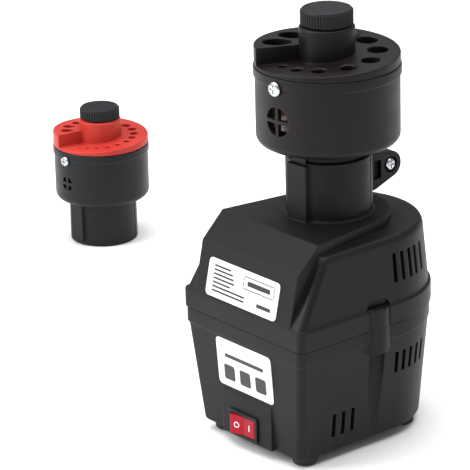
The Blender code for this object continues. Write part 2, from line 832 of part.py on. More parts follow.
def label_on(name, bottom, top, low_front, high_front, half_width, x):
    """A thin sticker with rounded corners on a leaning front face, between two heights."""
    rise, lean = top - bottom, low_front - high_front
    half_height = math.hypot(rise, lean) / 2
    outward = Vector((0, -rise, lean)).normalized()
    middle = Vector((x, -(low_front + high_front) / 2, (bottom + top) / 2))
    middle += outward * (LABEL_GAP + LABEL_THICKNESS / 2)
    outline = []
    for sx, sy, start in ((1, -1, -90), (1, 1, 0), (-1, 1, 90), (-1, -1, 180)):
        corner = (sx * (half_width - LABEL_CORNER), sy * (half_height - LABEL_CORNER))
        outline += arc(corner, LABEL_CORNER, start, start + 90, 4)
    return slab(name, outline, LABEL_THICKNESS, facing(middle, outward), "label_white")


def front_at(z):
    return lower_wall(z)[1]


def block_front_at(z):
    share = (z - (BELT_TOP - OVERLAP)) / (FACET_LOW - BELT_TOP + OVERLAP)
    return BLOCK_FRONT_LOW + (BLOCK_FRONT_HIGH - BLOCK_FRONT_LOW) * share


def make_labels():
    low, high = RATING_LABEL_Z
    fronts = (block_front_at(low), block_front_at(high))
    label_on("rating_label", low, high, *fronts, RATING_LABEL_HALF_WIDTH, -1.2)
    low, high = FRONT_LABEL_Z
    label_on("front_label", low, high, front_at(low), front_at(high), FRONT_LABEL_HALF_WIDTH, 0.4)


# ---------------------------------------------------------------- switch and cable inlet


def switch_half_sizes(inset):
    return (SWITCH_BEZEL[0] / 2 - inset, SWITCH_BEZEL[1] / 2 - inset)


def switch_opening():
    half_x, half_z = switch_half_sizes(SWITCH_FLANGE)
    return box(
        "cut_switch_opening",
        (SWITCH_X - half_x, -PAD_FRONT - 2, SWITCH_Z - half_z),
        (SWITCH_X + half_x, -PAD_FRONT + SWITCH_DEPTH + 1, SWITCH_Z + half_z),
    )


def make_switch():
    half_x, half_z = switch_half_sizes(0)
    front = -PAD_FRONT - GAP
    body = box(
        "switch_body",
        (SWITCH_X - half_x, front - BEZEL_PROUD, SWITCH_Z - half_z),
        (SWITCH_X + half_x, front, SWITCH_Z + half_z),
        "black_plastic",
    )
    barrel_x, barrel_z = switch_half_sizes(SWITCH_FLANGE + GAP)
    barrel = box(
        "add_switch_barrel",
        (SWITCH_X - barrel_x, front - BEZEL_PROUD / 2, SWITCH_Z - barrel_z),
        (SWITCH_X + barrel_x, front + SWITCH_DEPTH, SWITCH_Z + barrel_z),
    )
    join(body, barrel)
    room_x, room_z = switch_half_sizes(SWITCH_FLANGE + GAP + SWITCH_WALL)
    room = box(
        "cut_switch_room",
        (SWITCH_X - room_x, front - 3, SWITCH_Z - room_z),
        (SWITCH_X + room_x, ROCKER_AXIS_Y + 5.4, SWITCH_Z + room_z),
    )
    cut(body, room)
    make_rocker()
    back = front + SWITCH_DEPTH
    for name, offset in (("switch_terminal_left", -5.0), ("switch_terminal_right", 5.0)):
        x = SWITCH_X + offset
        box(name, (x - 0.4, back + GAP, SWITCH_Z - 3.1), (x + 0.4, back + 8, SWITCH_Z + 3.1), "brass")


def make_rocker():
    """Two faces in a shallow V, tipping about an upright axis inside the switch body."""
    room_x, room_z = switch_half_sizes(SWITCH_FLANGE + GAP + SWITCH_WALL)
    half, height = room_x - ROCKER_TIP_ROOM, 2 * (room_z - SLIDING_GAP)
    outline = [(-half, -3.4), (-half + 0.6, -3.9), (0, -2.5), (half - 0.6, -3.9), (half, -3.4)]
    outline += [(half - 0.3, 0.6), (3.0, 3.2), (-3.0, 3.2), (-half + 0.3, 0.6)]
    rocker = prism("switch_rocker", outline, -height / 2, height / 2, "rocker_red")
    rocker.location = (SWITCH_X * MM, ROCKER_AXIS_Y * MM, SWITCH_Z * MM)
    rocker.rotation_euler = (0, 0, ROCKER_REST_TILT)
    return rocker


def cable_point(distance):
    """A point on the inlet's axis, measured outwards from the back wall's outer face."""
    outer, higher = (lower_wall(z) for z in (CABLE_Z, CABLE_Z + 1))
    lean = higher[0] + higher[2] - outer[0] - outer[2]
    outward = Vector((0, 1, -lean)).normalized()
    return Vector((0, outer[0] + outer[2], CABLE_Z)) + outward * distance


def cable_opening():
    return rod("cut_cable_opening", CABLE_HOLE + GAP, cable_point(-8), cable_point(6), steps=20)


def make_cable_inlet():
    """Rubber bushing in the back wall; the opening through it is for a mains cord."""
    inlet = rod("cable_inlet", CABLE_HOLE, cable_point(-WALL - 3), cable_point(1.2), "rubber", 20)
    flange = rod("add_inlet_flange", CABLE_HOLE + 2, cable_point(GAP), cable_point(2.4), steps=20)
    join(inlet, flange)
    cut(inlet, rod("cut_inlet_bore", CABLE_BORE, cable_point(-12), cable_point(6), steps=16))


# ---------------------------------------------------------------- motor


def stator_outline():
    """Four poles on a round yoke, as one laminated plate seen from above."""
    inner = ROTOR_RADIUS + AIR_GAP
    yoke = STATOR_RADIUS - YOKE_THICKNESS
    half = POLE_WIDTH / 2
    shoe = math.degrees(math.asin(half / inner)) + 6
    side = math.degrees(math.asin(half / yoke))
    points = []
    for turn in (0, 90, 180, 270):
        lap = arc((0, 0), inner, turn - shoe, turn + shoe, 6)
        root = yoke * math.cos(math.radians(side))
        fore = turned_copy([(inner + 2, half), (root, half)], math.radians(turn))
        back = turned_copy([(inner + 2, -half)], math.radians(turn))
        slot_wall = arc((0, 0), yoke, turn + side, turn + 90 - side, 5)
        points += back + lap + fore[:1] + slot_wall
    return points


def make_stator():
    low, high = STATOR_Z
    core = rod("stator_core", STATOR_RADIUS, (0, 0, low), (0, 0, high), "core_steel", ROUND_STEPS)
    window = prism("cut_stator_window", stator_outline(), low - 1, high + 1)
    cut(core, window, bolt_holes("cut_stator_bolts", low - 1, high + 1))
    half = POLE_WIDTH / 2
    inner = ROTOR_RADIUS + AIR_GAP + 2.6
    outer = math.sqrt((STATOR_RADIUS - YOKE_THICKNESS - 0.6) ** 2 - (half + COIL_BUILD) ** 2)
    for index, turn in enumerate((0, 90, 180, 270)):
        coil = box(
            f"stator_coil_{index + 1}",
            (inner, -half - COIL_BUILD, low - COIL_BUILD),
            (outer, half + COIL_BUILD, high + COIL_BUILD),
            "copper_wire",
        )
        hole = box(
            f"cut_coil_{index + 1}",
            (inner - 1, -half - GAP, low - GAP),
            (outer + 1, half + GAP, high + GAP),
        )
        for piece in (coil, hole):
            piece.rotation_euler = (0, 0, math.radians(turn))
        cut(coil, hole)


def bolt_holes(name, z0, z1):
    places = [polar(BOLT_CIRCLE, math.radians(turn)) for turn in (45, 225)]
    return upright_rods(name, places, SCREW_SHANK + GAP, z0, z1, 12)


def make_bracket(name, low, core_z):
    """A cast bar across the stator: bearing cup in the middle, a standoff at each end."""
    high = low + BRACKET_THICKNESS
    reach = STATOR_RADIUS - 0.4
    outline = turned_copy([(-reach, -7), (reach, -7), (reach, 7), (-reach, 7)], math.radians(45))
    bar = prism(name, outline, low, high, "cast_aluminium")
    cup = rod(f"add_{name}_cup", BEARING_RADIUS + 3, (0, 0, low), (0, 0, low + BEARING_HEIGHT), steps=24)
    near = high - OVERLAP if core_z > high else low + OVERLAP
    places = [polar(BOLT_CIRCLE - 1.2, math.radians(turn)) for turn in (45, 225)]
    standoffs = upright_rods(f"add_{name}_standoffs", places, 3.9, min(near, core_z), max(near, core_z))
    join(bar, cup, standoffs)
    seat = rod(f"cut_{name}_seat", BEARING_RADIUS + GAP, (0, 0, low - 6), (0, 0, high + 6), steps=24)
    cut(bar, seat, bolt_holes(f"cut_{name}_bolts", low - 12, high + 12))
    return smooth(bar)


def make_bearing(name, z, shaft=SHAFT_RADIUS, radius=BEARING_RADIUS, height=BEARING_HEIGHT, at=(0, 0)):
    """A bearing as one ring, closed over its balls."""
    bore = shaft + GAP
    profile = [(radius, z + height), (radius, z), (bore, z), (bore, z + height)]
    return turned(name, profile, "bright_steel", 24, at)


def make_motor():
    low, high = STATOR_Z
    make_stator()
    make_bracket("lower_bracket", MOTOR_BRACKET_Z, low - GAP)
    make_bracket("upper_bracket", UPPER_BRACKET_Z, high + GAP)
    make_bearing("lower_bearing", MOTOR_BRACKET_Z)
    make_bearing("upper_bearing", UPPER_BRACKET_Z)
    for name, turn in (("motor_bolt_back", 45), ("motor_bolt_front", 225)):
        x, y = polar(BOLT_CIRCLE, math.radians(turn))
        top = UPPER_BRACKET_Z + BRACKET_THICKNESS + GAP
        profile = [(0, top + 3), (SCREW_HEAD, top + 3), (SCREW_HEAD, top)]
        profile += [(SCREW_SHANK, top), (SCREW_SHANK, 44.0), (0, 44.0)]
        turned(name, profile, "zinc_steel", 12, (x, y))
    rod("motor_shaft", SHAFT_RADIUS, (0, 0, SHAFT_BOTTOM), (0, 0, SHAFT_TOP), "bright_steel", 24)
    rotor = [
        (ROTOR_RADIUS, high + 1),
        (ROTOR_RADIUS, low - 1),
        (ROTOR_RADIUS - 5, low - 1),
        (ROTOR_RADIUS - 5, low + 1.5),
        (SHAFT_RADIUS + GAP, low + 1.5),
        (SHAFT_RADIUS + GAP, high - 1.5),
        (ROTOR_RADIUS - 5, high - 1.5),
        (ROTOR_RADIUS - 5, high + 1),
    ]
    turned("rotor_core", rotor, "core_steel", 32)
    make_fan()
    make_drive_dog()


def make_fan():
    low, high = FAN_Z
    hub = [(7, high), (7, low), (SHAFT_RADIUS + GAP, low), (SHAFT_RADIUS + GAP, high)]
    fan = turned("cooling_fan", hub, "grey_nylon", 24)
    plate = [(FAN_RADIUS, low + 1.6), (FAN_RADIUS, low), (6.4, low), (6.4, low + 1.6)]
    join(fan, turned("add_fan_plate", plate, steps=32))
    bm = bmesh.new()
    for k in range(FAN_BLADES):
        turn = Matrix.Rotation(2 * math.pi * k / FAN_BLADES, 4, "Z")
        size = Matrix.Diagonal((FAN_RADIUS - 8.5, 1.4, high - low - 1, 1))
        middle = Matrix.Translation((FAN_RADIUS / 2 + 2.2, 0, (low + high) / 2 + 0.2))
        bmesh.ops.create_cube(bm, size=1, matrix=turn @ middle @ size)
    join(fan, object_from(bm, "add_fan_blades"))
    return fan


def make_drive_dog():
    """Sleeve on the shaft's top with a hexagon that drives the head's spindle."""
    base = SHAFT_TOP - 8
    sleeve = [(0, SHAFT_TOP + 3), (6.2, SHAFT_TOP + 3), (6.2, base), (SHAFT_RADIUS + GAP, base)]
    sleeve += [(SHAFT_RADIUS + GAP, SHAFT_TOP + GAP), (0, SHAFT_TOP + GAP)]
    dog = turned("drive_dog", sleeve, "bright_steel", 24)
    hexagon = rod("add_dog_hexagon", HEX_RADIUS, (0, 0, SHAFT_TOP + 2), (0, 0, hex_top()), steps=6)
    return join(dog, hexagon)


# ---------------------------------------------------------------- heads


def tube_bottom():
    return BLACK_HEAD["drum_bottom"] - TUBE_LENGTH


def key_bottom():
    return tube_bottom() + KEY_START


def hex_top():
    return tube_bottom() + SPINDLE_RISE + SOCKET_DEPTH - 2.0


def drum_top(head):
    return head["drum_bottom"] + head["drum_height"]


def make_drum(head):
    """Drum, floor and tube in one moulding, with a web that guides the spindle."""
    at = (head["x"], head["y"])
    low, top = head["drum_bottom"], drum_top(head)
    radius, lip = head["drum_radius"], head["drum_radius"] + head["lip_proud"]
    foot = low - TUBE_LENGTH
    inner = radius - WALL
    web_low = foot + SPINDLE_RISE + SOCKET_DEPTH
    tube_inner = TUBE_RADIUS - TUBE_WALL
    profile = [
        (inner, top),
        (lip, top),
        (lip, top - head["lip_height"]),
        (radius, top - head["lip_height"] - 0.6),
        (radius, low + 4.5),
        (radius - 1.4, low + 1.4),
        (radius - 4.5, low),
        (TUBE_RADIUS, low),
        (TUBE_RADIUS, foot),
        (tube_inner, foot),
        (tube_inner, web_low),
        (SPINDLE_RADIUS + SLIDING_GAP, web_low),
        (SPINDLE_RADIUS + SLIDING_GAP, web_low + 4),
        (tube_inner, web_low + 4),
        (tube_inner, low + WALL),
        (inner, low + WALL),
    ]
    drum = turned(f"{head['name']}_drum", profile, "black_plastic", ROUND_STEPS, at)
    key = key_block(
        f"add_{head['name']}_key", KEY_WIDTH, TUBE_RADIUS - 1, TUBE_RADIUS + KEY_PROUD,
        foot + KEY_START, low + OVERLAP, at,
    )
    join(drum, key)
    groove = groove_cutter(f"cut_{head['name']}_groove", TUBE_RADIUS, foot - 1, low - 1, at)
    cut(drum, groove, drum_window(head), screw_holes(head, "drum", SCREW_SHANK + GAP, inner - 1, lip + 2))
    return drum


def placed(head, radius, angle, z):
    x, y = polar(radius, angle)
    return (head["x"] + x, head["y"] + y, z)


def drum_window(head):
    """Round vent split by a cross into four openings."""
    radius = head["vent_radius"]
    z = drum_top(head) - head["vent_drop"]
    inner, outer = head["drum_radius"] - WALL - 3, head["drum_radius"] + 3
    start, end = placed(head, inner, KEY_DIRECTION, z), placed(head, outer, KEY_DIRECTION, z)
    window = rod(f"cut_{head['name']}_window", radius, start, end, steps=24)
    middle = placed(head, (inner + outer) / 2, KEY_DIRECTION, z)
    axis = (*polar(1, KEY_DIRECTION), 0)
    bars = cross_bar(f"cut_{head['name']}_bars", middle, axis, 2 * radius + 2, 1.8, outer - inner + 2)
    return cut(window, bars)


def screw_angles():
    return (("front", KEY_DIRECTION), ("back", KEY_DIRECTION + math.pi))


def screw_holes(head, where, radius, inner, outer):
    bm = bmesh.new()
    z = drum_top(head) - head["screw_drop"]
    for _, angle in screw_angles():
        add_rod(bm, radius, placed(head, inner, angle, z), placed(head, outer, angle, z), 12)
    return object_from(bm, f"cut_{head['name']}_{where}_screws")


def ramp_z(head, angle):
    """Height of the cap's spiral floor; it climbs once round from the step."""
    share = ((angle - head["ramp_start"]) % 360.0) / 360.0
    return drum_top(head) + head["ramp_low"] + head["ramp_rise"] * share


def add_ramp(bm, head, inner, outer, bottom):
    """Spiral floor between two radii: a wedge that climbs once round and ends in a step."""
    rows = []
    for k in range(RAMP_STEPS + 1):
        angle = math.radians(head["ramp_start"] + 360.0 * k / RAMP_STEPS)
        z = drum_top(head) + head["ramp_low"] + head["ramp_rise"] * k / RAMP_STEPS
        upper = [bm.verts.new(placed(head, r, angle, z)) for r in (outer, inner)]
        if k < RAMP_STEPS:
            lower = [bm.verts.new(placed(head, r, angle, bottom)) for r in (inner, outer)]
        else:
            lower = rows[0][:2]
        rows.append(lower + upper)
    first, last = rows[0], rows[-1]
    for a, b in zip(rows, rows[1:]):
        bm.faces.new((a[0], b[0], b[1], a[1]))
        bm.faces.new((a[2], b[2], b[3], a[3]))
        if b is not last:
            bm.faces.new((a[1], b[1], b[2], a[2]))
            bm.faces.new((a[3], b[3], b[0], a[0]))
    a = rows[-2]
    bm.faces.new((a[1], first[1], first[2], last[2], a[2]))
    bm.faces.new((a[3], last[3], first[3], first[0], a[0]))
    bm.faces.new((first[3], last[3], last[2], first[2]))
    bmesh.ops.recalc_face_normals(bm, faces=bm.faces)
    return bm


def make_cap(head, finish):
    at = (head["x"], head["y"])
    top = drum_top(head)
    plug = head["drum_radius"] - WALL - GAP
    boss, sleeve = head["boss_radius"], SLEEVE_RADIUS + SLIDING_GAP
    boss_top = top + head["boss_height"]
    profile = [
        (STEM_RADIUS + SLIDING_GAP, boss_top),
        (boss - 1.2, boss_top),
        (boss, boss_top - 1.2),
        (boss, top + head["ramp_low"] - 0.4),
        (plug, top + head["ramp_low"] - 0.4),
        (plug, top - CAP_PLUG_DEPTH),
        (sleeve, top - CAP_PLUG_DEPTH),
        (sleeve, boss_top - 2.4),
        (STEM_RADIUS + SLIDING_GAP, boss_top - 2.4),
    ]
    cap = turned(f"{head['name']}_cap", profile, finish, ROUND_STEPS, at)
    ramp = add_ramp(bmesh.new(), head, boss - 1.0, head["drum_radius"] + 0.3, top + GAP)
    join(cap, object_from(ramp, f"add_{head['name']}_ramp"))
    cut(cap, guide_holes(head), screw_holes(head, "cap", SCREW_SHANK + GAP, plug - 4.0, plug + 6))
    return cap


def guide_holes(head):
    """Guide holes for the drill bits, growing with the height of the spiral floor."""
    bm = bmesh.new()
    small, large = head["guide_diameters"]
    last = len(head["guide_angles"]) - 1
    for k, degrees in enumerate(head["guide_angles"]):
        radius = (small + (large - small) * k / last) / 2
        steps = 12 if radius < 3 else 18
        low = placed(head, head["guide_circle"], math.radians(degrees), drum_top(head) - CAP_PLUG_DEPTH - 1)
        high = placed(head, head["guide_circle"], math.radians(degrees), ramp_z(head, degrees) + 3)
        add_rod(bm, radius, low, high, steps)
    return object_from(bm, f"cut_{head['name']}_guide_holes")


def make_knob(head):
    """Knob and the threaded stem that moves the feed sleeve."""
    low = drum_top(head) + head["boss_height"] + 0.6
    high = low + head["knob_height"]
    radius = head["knob_radius"]
    stem_end = sleeve_top(head) - 9
    profile = [
        (0, high),
        (radius - 2.0, high),
        (radius - 0.6, high - 0.7),
        (radius, high - 2.2),
        (radius, low),
        (STEM_RADIUS, low),
        (STEM_RADIUS, stem_end),
        (0, stem_end),
    ]
    return turned(f"{head['name']}_knob", profile, "black_plastic", 36, (head["x"], head["y"]))


def sleeve_top(head):
    return drum_top(head) + head["boss_height"] - 2.4 - FEED_ROOM


def head_bearing_z(head):
    return drum_top(head) - 8.0


def make_feed_sleeve(head):
    """Non-turning nut on the stem; it carries the bearing that holds the spindle."""
    low, high = head_bearing_z(head) - 0.6, sleeve_top(head)
    ledge = head_bearing_z(head) + HEAD_BEARING_HEIGHT + GAP
    profile = [
        (STEM_RADIUS + GAP, high),
        (SLEEVE_RADIUS, high),
        (SLEEVE_RADIUS, low),
        (HEAD_BEARING_RADIUS + GAP, low),
        (HEAD_BEARING_RADIUS + GAP, ledge),
        (STEM_RADIUS + GAP, ledge),
    ]
    return turned(f"{head['name']}_feed_sleeve", profile, "grey_nylon", 24, (head["x"], head["y"]))


def wheel_bottom(head):
    return head_bearing_z(head) - 6.4 - WHEEL_HEIGHT


def make_spindle(head):
    """Spindle: hexagon socket below, flange under the wheel, journal in the sleeve's bearing."""
    foot = head["drum_bottom"] - TUBE_LENGTH + SPINDLE_RISE
    seat = wheel_bottom(head)
    top = head_bearing_z(head) + HEAD_BEARING_HEIGHT
    profile = [
        (0, top),
        (HEAD_JOURNAL, top),
        (HEAD_JOURNAL, head_bearing_z(head) - 1.0),
        (WHEEL_BORE, head_bearing_z(head) - 1.0),
        (WHEEL_BORE, seat - GAP),
        (11.0, seat - GAP),
        (11.0, seat - 2.6),
        (SPINDLE_RADIUS, seat - 2.6),
        (SPINDLE_RADIUS, foot),
        (0, foot),
    ]
    at = (head["x"], head["y"])
    spindle = turned(f"{head['name']}_spindle", profile, "bright_steel", 24, at)
    ends = ((*at, foot - 1), (*at, foot + SOCKET_DEPTH))
    return cut(spindle, rod(f"cut_{head['name']}_socket", HEX_RADIUS + SLIDING_GAP, *ends, steps=6))


def make_wheel(head):
    """Abrasive ring whose top is ground to the cone that gives the drill its point."""
    radius, seat = head["wheel_radius"], wheel_bottom(head)
    crown = radius - 15.0
    slope = math.tan(math.radians(31.0))
    profile = [
        (WHEEL_BORE + GAP, seat + WHEEL_HEIGHT),
        (crown, seat + WHEEL_HEIGHT),
        (radius, seat + WHEEL_HEIGHT - (radius - crown) * slope),
        (radius, seat),
        (WHEEL_BORE + GAP, seat),
    ]
    at = (head["x"], head["y"])
    turned(f"{head['name']}_grinding_wheel", profile, "corundum", ROUND_STEPS, at)
    nut_low = seat + WHEEL_HEIGHT + GAP
    nut = rod(f"{head['name']}_wheel_nut", 9.0, (*at, nut_low), (*at, nut_low + 4.2), "zinc_steel", 6)
    set_origin(nut, *at, 0)
    ends = ((*at, nut_low - 1), (*at, nut_low + 6))
    cut(nut, rod(f"cut_{head['name']}_nut_bore", WHEEL_BORE + GAP, *ends, steps=20))


def make_cap_screws(head):
    """Cross-head screws that hold the cap's plug in the drum."""
    lip = head["drum_radius"] + head["lip_proud"]
    z = drum_top(head) - head["screw_drop"]
    inner = head["drum_radius"] - WALL - GAP - 3.4
    for where, angle in screw_angles():
        name = f"{head['name']}_cap_screw_{where}"
        start, end = placed(head, inner, angle, z), placed(head, lip + 0.8, angle, z)
        screw = rod(name, SCREW_SHANK, start, end, "zinc_steel", 12)
        low, high = placed(head, lip + GAP, angle, z), placed(head, lip + 2.3, angle, z)
        radius = head["screw_radius"]
        cap = rod(f"add_{name}_head", radius, low, high, steps=18, end_radius=radius - 1.0)
        join(screw, cap)
        axis = Matrix.Rotation(angle, 3, "Z") @ Vector((1, 0, 0))
        cut(screw, cross_recess(f"cut_{name}_recess", high, axis, radius * 1.1))


def make_head(head, cap_finish):
    make_drum(head)
    make_cap(head, cap_finish)
    make_knob(head)
    make_feed_sleeve(head)
    make_bearing(
        f"{head['name']}_bearing",
        head_bearing_z(head),
        HEAD_JOURNAL,
        HEAD_BEARING_RADIUS,
        HEAD_BEARING_HEIGHT,
        (head["x"], head["y"]),
    )
    make_spindle(head)
    make_wheel(head)
    make_cap_screws(head)


clear_scene()
pieces = new_collection("drill_bit_sharpener")
helpers = new_collection("helpers")
make_lower_housing()
make_upper_housing()
make_feet()
make_housing_screws()
make_clamp_screw()
make_labels()
make_switch()
make_cable_inlet()
make_motor()
make_head(BLACK_HEAD, "black_plastic")
make_head(SPARE_HEAD, "red_plastic")
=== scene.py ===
import json
import math

import bmesh
import bpy
from mathutils import Matrix, Vector


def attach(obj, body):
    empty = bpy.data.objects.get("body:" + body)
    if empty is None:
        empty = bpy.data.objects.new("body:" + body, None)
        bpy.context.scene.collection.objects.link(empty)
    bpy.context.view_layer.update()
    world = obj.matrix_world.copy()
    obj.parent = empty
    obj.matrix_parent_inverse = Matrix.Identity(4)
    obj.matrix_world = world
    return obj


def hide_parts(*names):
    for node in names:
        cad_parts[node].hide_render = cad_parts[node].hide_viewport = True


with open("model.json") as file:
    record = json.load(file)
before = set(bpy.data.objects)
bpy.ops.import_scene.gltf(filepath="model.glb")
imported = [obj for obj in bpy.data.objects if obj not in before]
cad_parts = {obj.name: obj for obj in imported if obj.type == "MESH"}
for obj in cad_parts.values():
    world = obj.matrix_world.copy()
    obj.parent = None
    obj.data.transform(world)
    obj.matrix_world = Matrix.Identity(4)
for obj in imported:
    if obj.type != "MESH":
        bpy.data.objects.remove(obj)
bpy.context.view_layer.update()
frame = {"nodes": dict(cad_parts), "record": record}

mm = 0.001
print("frame loaded:", len(frame["nodes"]), "CAD nodes")


# ---- shader nodes

def linear(code):
    channels = [int(code[i:i + 2], 16) / 255 for i in (1, 3, 5)]
    return [c / 12.92 if c <= 0.04045 else ((c + 0.055) / 1.055) ** 2.4 for c in channels] + [1.0]


def addNode(tree, kind, settings=None, links=None):
    # settings go to a socket of that name, or else to the node; links are {input: (node, output)}
    node = tree.nodes.new(kind)
    for key, value in (settings or {}).items():
        if key in node.inputs:
            node.inputs[key].default_value = value
        else:
            setattr(node, key, value)
    for key, (source, output) in (links or {}).items():
        tree.links.new(source.outputs[output], node.inputs[key])
    return node


def startMaterial(name, **sockets):
    made = bpy.data.materials.new(name)
    made.use_nodes = True
    tree = made.node_tree
    shader = tree.nodes["Principled BSDF"]
    for key, value in sockets.items():
        shader.inputs[key.replace("_", " ")].default_value = value
    return made, tree, shader, addNode(tree, "ShaderNodeTexCoord")


def colourRamp(tree, source, output, stops):
    node = addNode(tree, "ShaderNodeValToRGB", links={"Fac": (source, output)})
    while len(node.color_ramp.elements) < len(stops):
        node.color_ramp.elements.new(0.5)
    for element, (position, colour) in zip(node.color_ramp.elements, stops):
        element.position = position
        element.color = linear(colour)
    return node


def noise(tree, place, sizeMm, detail, roughness=0.5):
    settings = {"Scale": 1 / (sizeMm * mm), "Detail": detail, "Roughness": roughness}
    return addNode(tree, "ShaderNodeTexNoise", settings, {"Vector": (place, "Object")})


def spread(tree, source, output, low, high, fromLow=0.0, fromHigh=1.0):
    return addNode(tree, "ShaderNodeMapRange",
                   {"From Min": fromLow, "From Max": fromHigh, "To Min": low, "To Max": high},
                   {"Value": (source, output)})


def roundedEdge(tree, radiusMm):
    return addNode(tree, "ShaderNodeBevel", {"Radius": radiusMm * mm, "samples": 6})


def edgeMask(tree, rounded):
    # 1 right on an edge, 0 away from it
    flat = addNode(tree, "ShaderNodeNewGeometry")
    match = addNode(tree, "ShaderNodeVectorMath", {"operation": "DOT_PRODUCT"},
                    {0: (rounded, "Normal"), 1: (flat, "Normal")})
    return spread(tree, match, "Value", 1.0, 0.0, 0.86, 0.995)


def bump(tree, shader, source, output, depthMm, strength=1.0, under=None):
    links = {"Height": (source, output)}
    if under:
        links["Normal"] = (under, "Normal")
    node = addNode(tree, "ShaderNodeBump", {"Distance": depthMm * mm, "Strength": strength}, links)
    tree.links.new(node.outputs["Normal"], shader.inputs["Normal"])


def coat(tree, shader, tint, output, gloss):
    # the colour and the roughness both come from the pattern
    tree.links.new(tint.outputs[output], shader.inputs["Base Color"])
    tree.links.new(gloss.outputs["Result"], shader.inputs["Roughness"])


def mixColour(tree, mask, output, first, second):
    node = addNode(tree, "ShaderNodeMix", {"data_type": "RGBA"}, {0: (mask, output)})
    for index, colour in ((6, first), (7, second)):
        if isinstance(colour, str):
            node.inputs[index].default_value = linear(colour)
        else:
            tree.links.new(colour.outputs["Color"], node.inputs[index])
    return node


# ---- materials

# moulded ABS with a spark-eroded texture: matt grain, a cloudy sheen, and a painted highlight that makes the
# edges paler in patches
def mouldedPlastic(name, base, cloudy, edgeHighlight, roughness, grainMm=0.9, grainDepthMm=0.05, edgeMm=0.7):
    made, tree, shader, place = startMaterial(name, Metallic=0.0, IOR=1.46, Specular_IOR_Level=0.24)
    grain = noise(tree, place, grainMm, 3.0, 0.65)
    cloud = noise(tree, place, 26, 5.0, 0.6)
    rounded = roundedEdge(tree, edgeMm)
    body = colourRamp(tree, cloud, "Fac", [(0.35, base), (0.7, cloudy)])
    # painted highlight: the edges, where the rounded normal turns away, get the paler colour in cloudy patches
    paintedEdgeHighlight = addNode(tree, "ShaderNodeMath", {"operation": "MULTIPLY"},
                   {0: (edgeMask(tree, rounded), "Result"), 1: (cloud, "Fac")})
    gloss = spread(tree, cloud, "Fac", roughness - 0.07, roughness + 0.07, 0.3, 0.7)
    coat(tree, shader, mixColour(tree, paintedEdgeHighlight, "Value", body, edgeHighlight), 2, gloss)
    bump(tree, shader, grain, "Fac", grainDepthMm, 0.6, rounded)
    return made


# metal with scratches along one direction: turned, ground or rolled, so its highlight is drawn out
def workedMetal(name, base, dark, roughness, grainMm, stretch, edgeMm=0.25):
    made, tree, shader, place = startMaterial(name, Metallic=1.0)
    lay = addNode(tree, "ShaderNodeMapping", {"Scale": stretch}, {"Vector": (place, "Object")})
    grain = addNode(tree, "ShaderNodeTexNoise", {"Scale": 1 / (grainMm * mm), "Detail": 4.0},
                    {"Vector": (lay, "Vector")})
    body = colourRamp(tree, grain, "Fac", [(0.35, dark), (0.65, base)])
    coat(tree, shader, body, "Color", spread(tree, grain, "Fac", roughness - 0.06, roughness + 0.08))
    bump(tree, shader, grain, "Fac", 0.02, 0.5, roundedEdge(tree, edgeMm))
    return made


# natural rubber, moulded: dull, with a faint bloom that pales it in patches
def mouldedRubber(name):
    made, tree, shader, place = startMaterial(name, Metallic=0.0, IOR=1.52)
    bloom = noise(tree, place, 5, 4.0)
    tint = colourRamp(tree, bloom, "Fac", [(0.35, "#191819"), (0.75, "#2a292a")])
    coat(tree, shader, tint, "Color", spread(tree, bloom, "Fac", 0.7, 0.9))
    bump(tree, shader, bloom, "Fac", 0.1, 0.4, roundedEdge(tree, 0.5))
    return made


# label film and the ink on it: flat satin, with the faint unevenness of the glue under it
def labelFilm(name, base, pale):
    made, tree, shader, place = startMaterial(name, Metallic=0.0, IOR=1.5)
    glue = noise(tree, place, 6, 2.0)
    tint = colourRamp(tree, glue, "Fac", [(0.3, base), (0.8, pale)])
    coat(tree, shader, tint, "Color", spread(tree, glue, "Fac", 0.32, 0.45))
    bump(tree, shader, glue, "Fac", 0.03, 0.3)
    return made


# polished, dyed polycarbonate of the rocker: glossy, a little light goes into it
def rockerGloss(name):
    made, tree, shader, place = startMaterial(
        name, Metallic=0.0, IOR=1.58, Specular_IOR_Level=0.16, Subsurface_Weight=0.05,
        Subsurface_Radius=(0.002, 0.0004, 0.0003), Coat_Weight=0.04, Coat_Roughness=0.1)
    flow = noise(tree, place, 7, 2.0)
    tint = colourRamp(tree, flow, "Fac", [(0.3, "#9c0620"), (0.7, "#ac0a27")])
    coat(tree, shader, tint, "Color", spread(tree, flow, "Fac", 0.14, 0.24))
    bump(tree, shader, flow, "Fac", 0.04, 0.3, roundedEdge(tree, 0.4))
    return made


def layers(tree, place, pitchMm, distortion, detail):
    return addNode(tree, "ShaderNodeTexWave",
                   {"bands_direction": "Z", "Scale": math.pi / (20 * pitchMm * mm), "Distortion": distortion,
                    "Detail": detail}, {"Vector": (place, "Object")})


# steel sheets stacked into the motor's core: fine dark lines every half millimetre
def laminatedSteel(name):
    made, tree, shader, place = startMaterial(name, Metallic=1.0)
    sheets = layers(tree, place, 0.5, 0.2, 2.0)
    tint = colourRamp(tree, sheets, "Fac", [(0.1, "#2c2d2f"), (0.5, "#74777a")])
    coat(tree, shader, tint, "Color", spread(tree, sheets, "Fac", 0.6, 0.38))
    bump(tree, shader, sheets, "Fac", 0.08)
    return made


# enamelled copper wire wound on the poles: orange-brown strands side by side, varnished
def woundCopper(name):
    made, tree, shader, place = startMaterial(name, Metallic=1.0, Coat_Weight=0.4)
    strands = layers(tree, place, 0.7, 1.2, 2.0)
    tint = colourRamp(tree, strands, "Fac", [(0.1, "#5a2c12"), (0.6, "#b8703c")])
    coat(tree, shader, tint, "Color", spread(tree, strands, "Fac", 0.5, 0.3))
    bump(tree, shader, strands, "Fac", 0.2)
    return made


